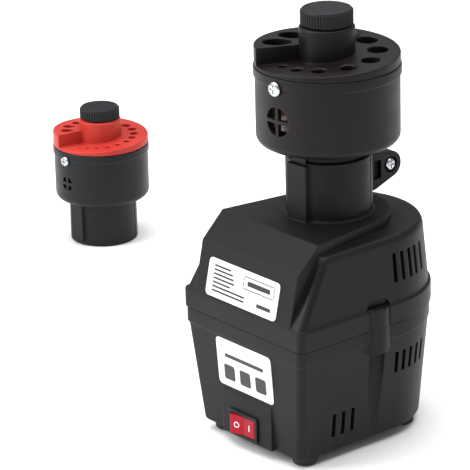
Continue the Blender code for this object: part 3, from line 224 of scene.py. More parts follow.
# bonded corundum, 80 grit: pinkish grey grains with dark pores between them
def bondedCorundum(name):
    made, tree, shader, place = startMaterial(name, Metallic=0.0)
    grit = addNode(tree, "ShaderNodeTexVoronoi", {"Scale": 1 / (0.5 * mm)}, {"Vector": (place, "Object")})
    tint = colourRamp(tree, grit, "Distance", [(0.1, "#c9b4ae"), (0.5, "#85706b")])
    coat(tree, shader, tint, "Color", spread(tree, grit, "Distance", 0.75, 0.98))
    bump(tree, shader, grit, "Distance", 0.25)
    return made


# the third colour of each moulded plastic below is its painted edge highlight
paint = {
    "casing": mouldedPlastic("black ABS, spark-eroded casing", "#131014", "#171317", "#343136", 0.5),
    "head": mouldedPlastic("black glass-filled nylon, turned mould", "#110d0d", "#151011", "#383334", 0.44,
                           0.7, 0.03),
    "knob": mouldedPlastic("black nylon knob, fine matt", "#18191c", "#1e1f22", "#404146", 0.5,
                           0.6, 0.04, 0.35),
    # the spare's drum: a cooler, bluish black than the mounted drum's
    "spareDrum": mouldedPlastic("black glass-filled nylon, cooler tint", "#111316", "#15171a", "#3a3d42", 0.42,
                                0.7, 0.03),
    "red": mouldedPlastic("red ABS cap, satin mould", "#b02f27", "#b9382f", "#cf5a4e", 0.42,
                          0.8, 0.025, 0.6),
    "nylon": mouldedPlastic("natural nylon, moulded", "#bdbbb0", "#c9c7bd", "#dedcd2", 0.45, 0.8, 0.04),
    "rubber": mouldedRubber("black natural rubber"),
    "film": labelFilm("white polyester label film", "#f4f4f3", "#efeeec"),
    "ink": labelFilm("dark grey printing ink", "#1d1d21", "#242428"),
    "rocker": rockerGloss("red polycarbonate, polished"),
    "mark": labelFilm("white pad-printing ink", "#f0f0ee", "#e6e6e2"),
    "zinc": workedMetal("zinc-plated steel, bright", "#dfe2e5", "#a9adb2", 0.24, 0.8, (1, 1, 1)),
    "ground": workedMetal("ground bearing steel", "#c8cbce", "#8d9196", 0.22, 1.0, (1, 1, 8)),
    "cast": workedMetal("die-cast aluminium", "#b4b6b8", "#8e9092", 0.48, 0.9, (1, 1, 1), 0.5),
    "brass": workedMetal("pressed brass", "#c9a24e", "#9a7730", 0.3, 1.0, (1, 1, 4)),
    "core": laminatedSteel("electrical steel, laminated"),
    "copper": woundCopper("enamelled copper winding"),
    "grit": bondedCorundum("bonded corundum"),
}
print("materials made:", len(paint))

slotPaint = {
    "black_plastic": "casing", "red_plastic": "red", "rocker_plastic": "rocker", "rubber": "rubber",
    "label": "film", "zinc_steel": "zinc", "bright_steel": "ground", "core_steel": "core",
    "copper_wire": "copper", "cast_aluminium": "cast", "corundum": "grit", "terminal_brass": "brass",
    "grey_nylon": "nylon",
}
for entry in frame["record"]["subparts"]:
    node = frame["nodes"][entry["node"]]
    node.data.materials.clear()
    node.data.materials.append(paint[slotPaint[entry["material_slot"]]])


# ---- shapes, in millimetres until a piece is finished

def arc(centre, radius, start, end, steps):
    angles = [math.radians(start + (end - start) * i / steps) for i in range(steps + 1)]
    return [(centre[0] + radius * math.cos(a), centre[1] + radius * math.sin(a)) for a in angles]


def spin(points, angle):
    c, s = math.cos(angle), math.sin(angle)
    return [(x * c - y * s, x * s + y * c) for x, y in points]


def blendOf(a, b, share):
    return tuple(p + (q - p) * share for p, q in zip(a, b))


def objectFrom(bm, name):
    mesh = bpy.data.meshes.new(name)
    bmesh.ops.recalc_face_normals(bm, faces=bm.faces)
    bm.to_mesh(mesh)
    bm.free()
    made = bpy.data.objects.new(name, mesh)
    bpy.context.scene.collection.objects.link(made)
    return made


def loft(name, rings):
    bm = bmesh.new()
    rows = [[bm.verts.new(p) for p in ring] for ring in rings]
    for below, above in zip(rows, rows[1:]):
        for i in range(len(below)):
            j = (i + 1) % len(below)
            bm.faces.new((below[i], below[j], above[j], above[i]))
    bm.faces.new(rows[0][::-1])
    bm.faces.new(rows[-1])
    return objectFrom(bm, name)


def lathe(name, profile, steps=96, at=(0, 0)):
    # a closed outline of (radius, z) points round an upright axis
    bm = bmesh.new()
    columns = []
    for r, z in profile:
        if r == 0:
            columns.append([bm.verts.new((at[0], at[1], z))] * steps)
        else:
            ring = arc((0, 0), r, 0, 360, steps)[:-1]
            columns.append([bm.verts.new((at[0] + x, at[1] + y, z)) for x, y in ring])
    for a, b in zip(columns, columns[1:] + columns[:1]):
        for i in range(steps):
            j = (i + 1) % steps
            corners = list(dict.fromkeys((a[i], b[i], b[j], a[j])))
            if len(corners) > 2:
                bm.faces.new(corners)
    return objectFrom(bm, name)


def slab(name, outline, thickness, place, bevel=0.0):
    bm = bmesh.new()
    low = [bm.verts.new((x, y, -thickness / 2)) for x, y in outline]
    high = [bm.verts.new((x, y, thickness / 2)) for x, y in outline]
    bm.faces.new(low[::-1])
    bm.faces.new(high)
    for i in range(len(outline)):
        j = (i + 1) % len(outline)
        bm.faces.new((low[i], low[j], high[j], high[i]))
    if bevel:
        bmesh.ops.bevel(bm, geom=list(bm.edges), offset=bevel, segments=2, profile=0.5, affect="EDGES",
                        clamp_overlap=True)
    bmesh.ops.transform(bm, matrix=place, verts=bm.verts)
    return objectFrom(bm, name)


def block(name, low, high, bevel=0.0):
    middle = [(a + b) / 2 for a, b in zip(low, high)]
    half = [(b - a) / 2 for a, b in zip(low, high)]
    outline = [(-half[0], -half[1]), (half[0], -half[1]), (half[0], half[1]), (-half[0], half[1])]
    return slab(name, outline, 2 * half[2], Matrix.Translation(middle), bevel)


def addCone(bm, start, end, radius, endRadius, steps):
    start, end = Vector(start), Vector(end)
    along = end - start
    place = Matrix.Translation((start + end) / 2) @ along.to_track_quat("Z", "Y").to_matrix().to_4x4()
    bmesh.ops.create_cone(bm, cap_ends=True, segments=steps, radius1=radius, radius2=endRadius,
                          depth=along.length, matrix=place)


def rod(name, radius, start, end, steps=32, bevel=0.0):
    bm = bmesh.new()
    addCone(bm, start, end, radius, radius, steps)
    if bevel:
        rims = [e for e in bm.edges if any(len(f.verts) > 4 for f in e.link_faces)]
        bmesh.ops.bevel(bm, geom=rims, offset=bevel, segments=3, profile=0.5, affect="EDGES")
    return objectFrom(bm, name)


def facing(middle, axis, upward=(0, 0, 1)):
    along = Vector(axis).normalized()
    across = Vector(upward).cross(along).normalized()
    return Matrix.Translation(middle) @ Matrix((across, along.cross(across), along)).transposed().to_4x4()


def settle(obj):
    # applies every modifier and leaves a plain mesh
    graph = bpy.context.evaluated_depsgraph_get()
    mesh = bpy.data.meshes.new_from_object(obj.evaluated_get(graph))
    obj.modifiers.clear()
    old, obj.data = obj.data, mesh
    bpy.data.meshes.remove(old)
    return obj


def combine(obj, operation, others):
    for other in others:
        step = obj.modifiers.new(other.name, "BOOLEAN")
        step.operation, step.solver, step.object = operation, "EXACT", other
    settle(obj)
    for other in others:
        bpy.data.objects.remove(other)
    return obj


def cut(obj, *others):
    return combine(obj, "DIFFERENCE", others)


def join(obj, *others):
    return combine(obj, "UNION", others)


def softened(obj, width, degrees=25, segments=2):
    step = obj.modifiers.new("Edges", "BEVEL")
    step.width, step.segments, step.limit_method = width, segments, "ANGLE"
    step.angle_limit = math.radians(degrees)
    return settle(obj)


def finishPiece(obj, body, paintName, slotName, *nodes, degrees=32):
    obj.data.transform(Matrix.Scale(mm, 4))
    bm = bmesh.new()
    bm.from_mesh(obj.data)
    bmesh.ops.remove_doubles(bm, verts=bm.verts, dist=1e-6)
    bm.to_mesh(obj.data)
    bm.free()
    obj.data.shade_smooth()
    obj.data.set_sharp_from_angle(angle=math.radians(degrees))
    weighted = obj.modifiers.new("Flat faces", "WEIGHTED_NORMAL")
    weighted.keep_sharp = True
    settle(obj)
    if not obj.data.materials or obj.data.materials[0] is None:
        obj.data.materials.clear()
        obj.data.materials.append(paint[paintName])
    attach(obj, body)
    if nodes:
        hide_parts(*nodes)
    return obj


# ---- casing

casing = {
    "floor": 5.0, "beltLow": 60.3, "seam": 68.9, "beltTop": 79.9, "facetLow": 106.8, "shoulder": 114.4,
    "deck": 120.2, "collarTop": 151.9, "rounding": 5.0, "wall": 2.4, "gap": 0.15, "backSteps": 56,
    "cornerSteps": 5, "edge": 0.6,
    # outlines: half width, front, centre of the round back
    "bottom": (40.1, 56.7, 8.0), "lowerTop": (46.2, 60.9, 7.0), "lowerBelt": (47.2, 61.5, 6.4),
    "upperBelt": (48.0, 61.9, 6.6), "shoulderFoot": (46.6, 60.6, 6.6), "shoulderEdge": (43.2, 43.0, 7.6),
    "shoulderTop": (40.2, 39.8, 7.6),
    "blockHalf": 38.3, "blockLow": 61.2, "blockHigh": 55.0, "blockDeck": 41.0, "blockBack": 32.2,
    "blockBottom": 78.9, "bossX": 41.4, "bossY": -8.0, "bossRadius": 9.2, "bossLow": 55.5,
    "groove": (45.6, 5.4), "niche": 45.1,
    "pad": ((-19.8, -59.2, 5.4), (19.8, -51.2, 30.0)),
    "switchOpening": ((-12.6, -61.2, 6.9), (8.6, -43.2, 19.9)),
    # vents: angles and heights round the back, and places along both sides at the front
    "ventWide": 2.6, "lowerVents": ((-1.4, 5.2, 12.2, 19.6, 27.0), 39.2, 51.2),
    "upperVents": ((-2.0, 5.2, 12.8, 19.6, 28.0), 90.0, 105.6),
    "frontVents": (-35.2, -28.8, -22.4), "frontVentZ": (13.6, 27.0),
    # screw columns: radius below and above the seam, and the radii of well, shank and pilot hole
    "columns": (4.6, 4.2), "well": 3.4, "wellTop": 50.0, "shank": 2.0, "pilotTop": 84.9,
    "screwColumns": ((-22.0, -42.0), (22.0, -42.0), (-15.0, 36.0), (15.0, 36.0)),
    "feet": ((-31.5, -46.5), (31.5, -46.5), (-26.0, 26.0), (26.0, 26.0)), "footHole": 2.9,
    "posts": (3.6, 21.0, 45.7), "postTurns": (45, 225), "cordHole": 6.3, "cordHigh": 19.0,
}


def casingRing(outline, z, inset=0.0, corner=4.0):
    half, front, back = outline
    half, front = half - inset, front - inset
    corner = max(corner - inset, 0.8)
    points = arc((half - corner, -front + corner), corner, -90, 0, casing["cornerSteps"])
    points += arc((0, back), half, 0, 180, casing["backSteps"])
    points += arc((-half + corner, -front + corner), corner, 180, 270, casing["cornerSteps"])
    return [(x, y, z) for x, y in points]


def lowerWall(z):
    low = casing["floor"]
    return blendOf(casing["bottom"], casing["lowerTop"], (z - low) / (casing["beltLow"] - low))


def shoulderWall(z):
    low, top = casing["beltTop"], casing["shoulder"] - casing["rounding"]
    return blendOf(casing["shoulderFoot"], casing["shoulderEdge"], (z - low) / (top - low))


def sideRods(name, radius, x, z0, z1, steps=40, bevel=0.0):
    y = casing["bossY"]
    return [rod(name, radius, (side * x, y, z0), (side * x, y, z1), steps, bevel) for side in (-1, 1)]


def uprights(name, radius, places, z0, z1, steps):
    return [rod(name, radius, (x, y, z0), (x, y, z1), steps) for x, y in places]


def ventSlots(outline, angles, z0, z1):
    half, _, back = outline
    wide = casing["ventWide"] / 2
    made = []
    for degrees in list(angles) + [180 - a for a in angles]:
        turn = Matrix.Rotation(math.radians(degrees), 4, "Z")
        spot = Vector((0, back, (z0 + z1) / 2)) + turn @ Vector((half - casing["wall"] / 2, 0, 0))
        size = [(-5, -wide), (5, -wide), (5, wide), (-5, wide)]
        made.append(slab("slot", size, z1 - z0, Matrix.Translation(spot) @ turn))
    return made


def frontSlots(x=42):
    low, high = casing["frontVentZ"]
    wide = casing["ventWide"] / 2
    return [block("slot", (side * x - 6, y - wide, low), (side * x + 6, y + wide, high))
            for y in casing["frontVents"] for side in (-1, 1)]


def cordPoint(distance):
    # a point on the line square to the back wall, through the middle of the cord's hole
    z = casing["cordHigh"]
    here, above = lowerWall(z), lowerWall(z + 1)
    outward = Vector((0, 1, -(above[0] + above[2] - here[0] - here[2]))).normalized()
    return Vector((0, here[0] + here[2], z)) + outward * distance


def lowerShell(seam):
    bottom, top, belt, beltLow = casing["bottom"], casing["lowerTop"], casing["lowerBelt"], casing["beltLow"]
    return loft("lowerCasing", [
        casingRing(bottom, casing["floor"], 1.6), casingRing(lowerWall(5.35), 5.35, 0.7),
        casingRing(lowerWall(6.4), 6.4), casingRing(top, beltLow - 0.4), casingRing(top, beltLow - 0.05, -0.15),
        casingRing(belt, beltLow + 0.45, 0.15), casingRing(belt, beltLow + 0.9), casingRing(belt, seam - 0.5),
        casingRing(belt, seam - 0.1, 0.2), casingRing(belt, seam, 0.5)])


def grooveBacking(inside):
    # thicker wall behind the grooves below the side bosses
    made = []
    for side in (-1, 1):
        corners = []
        for z in (inside - 1.0, casing["bossLow"] + 2.0):
            xs = sorted((side * 37.8, side * (lowerWall(z)[0] - casing["wall"] / 2)))
            corners.append([(xs[0], -15.4, z), (xs[1], -15.4, z), (xs[1], -0.6, z), (xs[0], -0.6, z)])
        made.append(loft("backing", corners))
    return made


def makeLowerCasing():
    seam = casing["seam"] - casing["gap"]
    wall, top, columns = casing["wall"], casing["lowerTop"], casing["screwColumns"]
    inside = casing["floor"] + wall
    shell = lowerShell(seam)
    pad = softened(block("pad", *casing["pad"]), 0.5)
    bosses = sideRods("boss", casing["bossRadius"], casing["bossX"], casing["bossLow"], 80.2, 48, 0.9)
    cavity = loft("cavity", [casingRing(casing["bottom"], inside, wall),
                             casingRing(top, casing["beltLow"], wall), casingRing(top, 99.0, wall)])
    join(shell, pad, *bosses)
    cut(shell, cavity)
    radius, ring, postTop = casing["posts"]
    places = [spin([(ring, 0)], math.radians(turn))[0] for turn in casing["postTurns"]]
    join(shell, *grooveBacking(inside), *uprights("column", casing["columns"][0], columns, 6.4, seam, 28),
         *uprights("post", radius, places, 6.4, postTop, 24))
    cutters = sideRods("groove", casing["groove"][1], casing["groove"][0], 4.0, casing["bossLow"])
    cutters += uprights("well", casing["well"], columns, 4, casing["wellTop"], 24)
    cutters += uprights("shank", casing["shank"], columns, casing["wellTop"] - 1, 70, 20)
    cutters += ventSlots(lowerWall(45), *casing["lowerVents"]) + frontSlots()
    cutters.append(block("switchOpening", *casing["switchOpening"]))
    cutters += uprights("footHole", casing["footHole"], casing["feet"], 4, 8.4, 24)
    cutters.append(rod("cordHole", casing["cordHole"], cordPoint(-8), cordPoint(6), 40))
    cut(shell, *cutters)
    return finishPiece(shell, "base", "casing", "black_plastic", "lower_housing")


def blockPlan(front, inset=0.0):
    half, radius = casing["blockHalf"] - inset, casing["blockBack"] - inset
    deck = casing["blockDeck"]
    touch = math.degrees(math.acos(radius / math.hypot(half, deck)) - math.atan2(deck, half))
    points = [(half, -front), (half, -deck + inset + 0.5)]
    points += arc((0, 0), radius, touch, 180 - touch, 48)
    return points + [(-half, -deck + inset + 0.5), (-half, -front)]


def blockRings(inset=0.0, drop=0.0):
    levels = ((casing["blockLow"], casing["blockBottom"]), (casing["blockHigh"], casing["facetLow"] - drop),
              (casing["blockDeck"], casing["deck"] - drop))
    return [[(x, y, z) for x, y in blockPlan(front - inset, inset)] for front, z in levels]


def shoulderRings(bottom, inset=0.0, drop=0.0, steps=6):
    foot, edge, rounding = casing["shoulderFoot"], casing["shoulderEdge"], casing["rounding"]
    top = casing["shoulder"] - rounding - drop
    rings = [casingRing(foot, bottom, inset), casingRing(foot, casing["beltTop"], inset),
             casingRing(edge, top, inset)]
    for k in range(1, steps + 1):
        turn = math.radians(90 * k / steps)
        outline = blendOf(edge, casing["shoulderTop"], 1 - math.cos(turn))
        rings.append(casingRing(outline, top + rounding * math.sin(turn), inset))
    return rings


# the neck that the mounted head's tube sits in, with its clamp ears behind
collar = {
    "radius": 22.7, "wall": 1.7, "floor": 131.2, "floorThick": 3.0, "keyTurn": math.radians(-85.0),
    "keyWide": 10.0, "keyProud": 1.9, "ribOuter": 24.4, "slit": 1.8, "slitLow": 132.5,
    "grooveTurn": math.radians(31.0), "grooveWide": 1.2, "grooveDeep": 0.7, "shaftHole": 9.0,
    "earY": 38.2, "earZ": 137.0, "earTip": 7.2, "earHalf": 5.6, "earHole": 2.2, "headSeat": (4.5, 1.8),
    "nutSeat": (3.9, 2.4), "pocket": (2.6, 26.2, 31.4, -6.0, 4.2),
}


def turnedBlock(name, turn, width, inner, outer, z0, z1, at=(0, 0), bevel=0.0):
    # an upright block along a radius, from inner to outer
    outline = spin([(inner, -width / 2), (outer, -width / 2), (outer, width / 2), (inner, width / 2)], turn)
    outline = [(x + at[0], y + at[1]) for x, y in outline]
    return slab(name, outline, z1 - z0, Matrix.Translation((0, 0, (z0 + z1) / 2)), bevel)


def grooveBlock(radius, z0, z1, at=(0, 0)):
    return turnedBlock("groove", collar["grooveTurn"], collar["grooveWide"], radius - collar["grooveDeep"],
                       radius + 2, z0, z1, at)


def niches():
    # the shallow recess in the wall above each side boss, narrowing upwards
    made = []
    for side in (-1, 1):
        rings = []
        for radius, z in ((9.35, 79.9), (8.9, 81.5), (7.9, 83.0), (6.0, 84.2)):
            reach = math.degrees(math.acos((casing["niche"] - casing["bossX"]) / radius))
            edge = arc((casing["bossX"], casing["bossY"]), radius, -reach, reach, 32)
            rings.append([(side * x, y, z) for x, y in edge])
        made.append(loft("niche", rings))
    return made


def upperShell(seam):
    belt, top = casing["upperBelt"], casing["beltTop"]
    return loft("upperCasing", [
        casingRing(belt, seam, 0.4), casingRing(belt, seam + 0.12, 0.12), casingRing(belt, seam + 0.5),
        casingRing(belt, top - 1.1), casingRing(belt, top - 0.5, 0.2), casingRing(belt, top - 0.1, 0.6),
        casingRing(belt, top, 1.1)])


def neckParts():
    r, up, deck = collar["radius"], casing["collarTop"], casing["deck"]
    profile = [(0, up), (r - 0.6, up), (r - 0.18, up - 0.18), (r, up - 0.6), (r, deck + 1.6),
               (r + 0.4, deck + 0.6), (r + 1.2, deck + 0.05), (r + 1.4, deck - 1.6), (0, deck - 1.6)]
    neck = lathe("collar", profile, 120)
    rib = turnedBlock("rib", collar["keyTurn"], collar["keyWide"] + 3.7, r - 3, collar["ribOuter"], deck - 1.0,
                      up - 1.2, bevel=0.5)
    y, z = collar["earY"], collar["earZ"]
    tip = arc((y, z), collar["earTip"], -70, 85, 20)
    outline = [(r - 1.2, z - 13), (28.0, z - 11.4)] + tip + [(r - 1.2, z + 9)]
    ears = slab("ears", outline, 2 * collar["earHalf"], facing((0, 0, 0), (1, 0, 0)), 0.5)
    return [neck, rib, ears]


def neckCutters():
    r, up, floor = collar["radius"], casing["collarTop"], collar["floor"]
    bore = r - collar["wall"]
    return [rod("socket", bore, (0, 0, floor), (0, 0, up + 1), 120),
            rod("underSocket", bore - 1, (0, 0, 116.8), (0, 0, floor - collar["floorThick"]), 64),
            rod("shaftHole", collar["shaftHole"], (0, 0, casing["deck"] - 0.2), (0, 0, floor + 1), 48),
            turnedBlock("keyway", collar["keyTurn"], collar["keyWide"] + 0.7, 5.0, collar["ribOuter"] - 1.5,
                        floor + 3.0, up + 2),
            block("slit", (-collar["slit"] / 2, r - 6, collar["slitLow"]), (collar["slit"] / 2, 53, up + 1)),
            grooveBlock(r, casing["deck"] + 2, up + 1)]


def earCutters():
    y, z, half = collar["earY"], collar["earZ"], collar["earHalf"]
    deep, front, back, below, above = collar["pocket"]
    made = []
    for side in (-1, 1):
        low, high = sorted((side * (half - deep), side * (half + 1)))
        made.append(block("earPocket", (low, front, z + below), (high, back, z + above)))
    made.append(rod("earHole", collar["earHole"], (-half - 1, y, z), (half + 1, y, z), 32))
    radius, deep = collar["headSeat"]
    made.append(rod("headSeat", radius, (half - deep, y, z), (half + 2, y, z), 40))
    radius, deep = collar["nutSeat"]
    made.append(rod("nutSeat", radius, (-half - 2, y, z), (-half + deep, y, z), 6))
    return made


def makeUpperCasing():
    seam, wall, columns = casing["seam"] + casing["gap"], casing["wall"], casing["screwColumns"]
    low = seam - 1.15
    shell = upperShell(seam)
    shoulder = loft("shoulder", shoulderRings(casing["blockBottom"] - 1.0))
    front = softened(loft("block", blockRings()), casing["edge"], 20)
    join(shell, shoulder, front, *neckParts())
    cutters = [loft("cavity", shoulderRings(low, wall, wall)), loft("blockCavity", blockRings(wall, wall))]
    cutters += neckCutters() + earCutters() + niches()
    cutters += sideRods("notch", casing["bossRadius"] + 0.3, casing["bossX"], low, 80.5, 48)
    cutters += ventSlots(shoulderWall(98), *casing["upperVents"])
    cut(shell, *cutters)
    join(shell, *uprights("column", casing["columns"][1], columns, seam, 113.2, 28))
    cut(shell, *uprights("pilot", casing["shank"], columns, low, casing["pilotTop"], 20))
    return finishPiece(shell, "base", "casing", "black_plastic", "upper_housing")


makeLowerCasing()
makeUpperCasing()
print("casing made")


# ---- heads

tube = {"length": 27.0, "radius": 20.65, "wall": 2.0, "spindle": 5.6, "rise": 4.6, "socket": 9.0, "web": 4.0}
drum = {"wall": 2.4, "corner": 4.5, "bar": 1.7, "screwHole": 2.0}
cap = {"plugDepth": 10.4, "sleeve": 9.6, "stem": 4.0, "rimChamfer": 0.45, "gap": 0.35, "roof": 2.4}
knob = {"gap": 0.6, "stemInCap": 13.4, "rib": 0.5}
mounted = {
    "at": (0.0, 0.0), "low": 158.5, "height": 41.8, "radius": 37.6, "lip": 0.8, "lipHeight": 5.1,
    "rampLow": 1.6, "rampRise": 9.2, "rampStart": -115.5, "boss": 14.6, "bossHeight": 20.2,
    "knob": 13.8, "knobHeight": 8.4, "knobRibs": 52, "vent": (7.8, 23.4), "screw": (3.9, 5.5),
    "circle": 26.0, "holes": (6.0, 15.4), "angles": (-102, -77, -50, -17, 17, 52, 87, 118, 149, 183, 221),
}
loose = {
    "at": (-312.0, 85.0), "low": 27.0, "height": 34.3, "radius": 28.8, "lip": 0.6, "lipHeight": 4.6,
    "rampLow": 1.5, "rampRise": 8.1, "rampStart": -99.0, "boss": 13.0, "bossHeight": 15.6,
    "knob": 12.2, "knobHeight": 6.9, "knobRibs": 46, "vent": (4.4, 20.0), "screw": (3.0, 5.2),
    "circle": 20.3, "holes": (1.8, 7.8),
    "angles": (-94, -78, -60, -43, -25, -6, 14, 33, 52, 72, 92, 113, 136, 160, 186, 213, 241),
}


def polarPoint(head, radius, angle, z):
    return (head["at"][0] + radius * math.cos(angle), head["at"][1] + radius * math.sin(angle), z)


def rods(name, parts, steps):
    # several rods or cones that don't touch, as one mesh: (start, end, radius, end radius)
    bm = bmesh.new()
    for start, end, radius, endRadius in parts:
        addCone(bm, start, end, radius, endRadius, steps)
    return objectFrom(bm, name)


def drumProfile(head):
    low, top, radius = head["low"], head["low"] + head["height"], head["radius"]
    lip, inner, foot = radius + head["lip"], radius - drum["wall"], low - tube["length"]
    hollow, web = tube["radius"] - tube["wall"], foot + tube["rise"] + tube["socket"]
    spindle, outer, corner = tube["spindle"] + cap["gap"], tube["radius"], drum["corner"]
    band, floor = top - head["lipHeight"], low + drum["wall"]
    profile = [(inner, top - 0.3), (inner + 0.3, top), (lip - 0.6, top), (lip - 0.17, top - 0.17)]
    profile += [(lip, top - 0.6), (lip, band + 0.15), (lip - 0.25, band - 0.1), (radius + 0.2, band - 0.35)]
    profile.append((radius, band - 0.7))
    profile += arc((radius - corner, low + corner), corner, 0, -90, 8)
    profile += [(outer + 0.5, low), (outer, low - 0.5), (outer, foot + 0.5), (outer - 0.5, foot)]
    profile += [(hollow, foot), (hollow, web), (spindle, web), (spindle, web + tube["web"])]
    return profile + [(hollow, web + tube["web"]), (hollow, floor), (inner, floor)]


def ventWindow(head):
    # the round window, less the cross that stays in it
    radius, drop = head["vent"]
    inner, turn, z = head["radius"] - drum["wall"], collar["keyTurn"], head["low"] + head["height"] - drop
    start, end = polarPoint(head, inner - 3, turn, z), polarPoint(head, head["radius"] + 3, turn, z)
    window = rod("window", radius, start, end, 64)
    place = facing(polarPoint(head, inner + 1, turn, z), (math.cos(turn), math.sin(turn), 0))
    length, wide = radius + 1, drum["bar"] / 2
    for x, y, thick in ((length, wide, 12.0), (wide, length, 13.0)):
        cut(window, slab("bar", [(-x, -y), (x, -y), (x, y), (-x, y)], thick, place))
    return window


def screwTurns():
    return (collar["keyTurn"], collar["keyTurn"] + math.pi)


def screwHoles(head, start, end):
    z, radius = head["low"] + head["height"] - head["screw"][1], drum["screwHole"]
    parts = [(polarPoint(head, start, turn, z), polarPoint(head, end, turn, z), radius, radius)
             for turn in screwTurns()]
    return rods("screwHoles", parts, 20)


def makeDrum(name, head, body, paintName):
    low, radius, outer = head["low"], head["radius"], tube["radius"]
    foot = low - tube["length"]
    made = lathe(name, drumProfile(head), 144, head["at"])
    join(made, turnedBlock("key", collar["keyTurn"], collar["keyWide"], outer - 1, outer + collar["keyProud"],
                           foot + 3.0, low + 1.0, head["at"], 0.4))
    cut(made, grooveBlock(outer, foot - 1, low - 1, head["at"]), ventWindow(head),
        screwHoles(head, radius - drum["wall"] - 1, radius + head["lip"] + 2))
    finishPiece(made, body, paintName, "black_plastic", name + "_drum")


def rampRow(bm, head, share, bottom):
    inner, outer = head["boss"] - 1.0, head["radius"] + 0.3
    angle = math.radians(head["rampStart"] + 360.0 * share)
    z = head["low"] + head["height"] + head["rampLow"] + head["rampRise"] * share
    points = [(inner, bottom), (outer, bottom), (outer, z - 0.7), (outer - 0.2, z - 0.2), (outer - 0.7, z),
              (inner, z)]
    return [bm.verts.new(polarPoint(head, r, angle, height)) for r, height in points]


def makeRamp(head, steps=180):
    # a spiral floor that climbs once round the boss and ends in a step
    bottom = head["low"] + head["height"] + 0.3
    bm = bmesh.new()
    rows = [rampRow(bm, head, k / steps, bottom) for k in range(steps + 1)]
    first, last = rows[0], rows[-1]
    for corner in (0, 1):
        bm.verts.remove(last[corner])
        last[corner] = first[corner]
    for a, b in zip(rows[:-2], rows[1:-1]):
        for i in range(6):
            j = (i + 1) % 6
            bm.faces.new((a[i], b[i], b[j], a[j]))
    a = rows[-2]
    bm.faces.new((a[0], first[0], first[1], a[1]))
    bm.faces.new((a[1], first[1], first[2], last[2], a[2]))
    for i in (2, 3, 4):
        bm.faces.new((a[i], last[i], last[i + 1], a[i + 1]))
    bm.faces.new((a[5], last[5], first[5], first[0], a[0]))
    bm.faces.new((first[5], first[4], first[3], first[2], last[2], last[3], last[4], last[5]))
    return objectFrom(bm, "ramp")


def guideHoles(head):
    # straight bores, and a shallow cone square to the sloping floor at the mouth of each
    top, circle, (smallest, largest) = head["low"] + head["height"], head["circle"], head["holes"]
    bores, mouths = [], []
    slope = head["rampRise"] / (2 * math.pi * circle)
    for k, degrees in enumerate(head["angles"]):
        angle = math.radians(degrees)
        radius = (smallest + (largest - smallest) * k / (len(head["angles"]) - 1)) / 2
        z = top + head["rampLow"] + head["rampRise"] * ((degrees - head["rampStart"]) % 360) / 360
        upward = Vector((slope * math.sin(angle), -slope * math.cos(angle), 1)).normalized()
        mouth, edge = Vector(polarPoint(head, circle, angle, z)), min(cap["rimChamfer"], radius * 0.2)
        bores.append((polarPoint(head, circle, angle, top - cap["plugDepth"] - 1), mouth + Vector((0, 0, 3)),
                      radius, radius))
        mouths.append((mouth - upward * 0.6, mouth + upward * 0.6, radius + edge - 0.6, radius + edge + 0.6))
    return [rods("bores", bores, 48), rods("mouths", mouths, 48)]


def plugRadius(head):
    return head["radius"] - drum["wall"] - 0.3


def capProfile(head):
    top, boss, plug = head["low"] + head["height"], head["boss"], plugRadius(head)
    sleeve, stem = cap["sleeve"] + cap["gap"], cap["stem"] + cap["gap"]
    high, floor = top + head["bossHeight"], top + head["rampLow"] - 0.4
    roof = high - cap["roof"]
    profile = [(stem, high), (boss - 1.4, high), (boss - 0.7, high - 0.2), (boss - 0.2, high - 0.7)]
    profile += [(boss, high - 1.4), (boss, floor), (plug, floor), (plug, top - cap["plugDepth"])]
    return profile + [(sleeve, top - cap["plugDepth"]), (sleeve, roof), (stem, roof)]


def makeCap(name, head, body, paintName, slotName):
    plug = plugRadius(head)
    made = lathe(name, capProfile(head), 144, head["at"])
    join(made, makeRamp(head))
    cut(made, *guideHoles(head), screwHoles(head, plug - 4, plug + 6))
    finishPiece(made, body, paintName, slotName, name + "_cap")


def copiesTree():
    # a copy at every point, turned so that its X looks away from the middle
    tree = bpy.data.node_groups.new("copies at points", "GeometryNodeTree")
    for label, kind in (("Points", "Geometry"), ("Copy", "Object"), ("Paint", "Material")):
        tree.interface.new_socket(label, in_out="INPUT", socket_type="NodeSocket" + kind)
    tree.interface.new_socket("Pieces", in_out="OUTPUT", socket_type="NodeSocketGeometry")
    given = addNode(tree, "NodeGroupInput")
    place = addNode(tree, "GeometryNodeInputPosition")
    turn = addNode(tree, "FunctionNodeAlignRotationToVector", {"axis": "X", "pivot_axis": "Z"},
                   {"Vector": (place, "Position")})
    copy = addNode(tree, "GeometryNodeObjectInfo", links={"Object": (given, "Copy")})
    spots = addNode(tree, "GeometryNodeInstanceOnPoints", links={
        "Points": (given, "Points"), "Instance": (copy, "Geometry"), "Rotation": (turn, "Rotation")})
    real = addNode(tree, "GeometryNodeRealizeInstances", links={"Geometry": (spots, "Instances")})
    painted = addNode(tree, "GeometryNodeSetMaterial", links={
        "Geometry": (real, "Geometry"), "Material": (given, "Paint")})
    addNode(tree, "NodeGroupOutput", links={"Pieces": (painted, "Geometry")})
    return tree


copies = copiesTree()


def repeated(name, points, copy, paintName):
    mesh = bpy.data.meshes.new(name)
    mesh.from_pydata(points, [], [])
    made = bpy.data.objects.new(name, mesh)
    bpy.context.scene.collection.objects.link(made)
    step = made.modifiers.new("Copies", "NODES")
    items = copies.interface.items_tree
    sockets = {item.name: item.identifier for item in items if item.in_out == "INPUT"}
    step.node_group = copies
    step[sockets["Copy"]] = copy
    step[sockets["Paint"]] = paint[paintName]
    settle(made)
    bpy.data.objects.remove(copy)
    return made


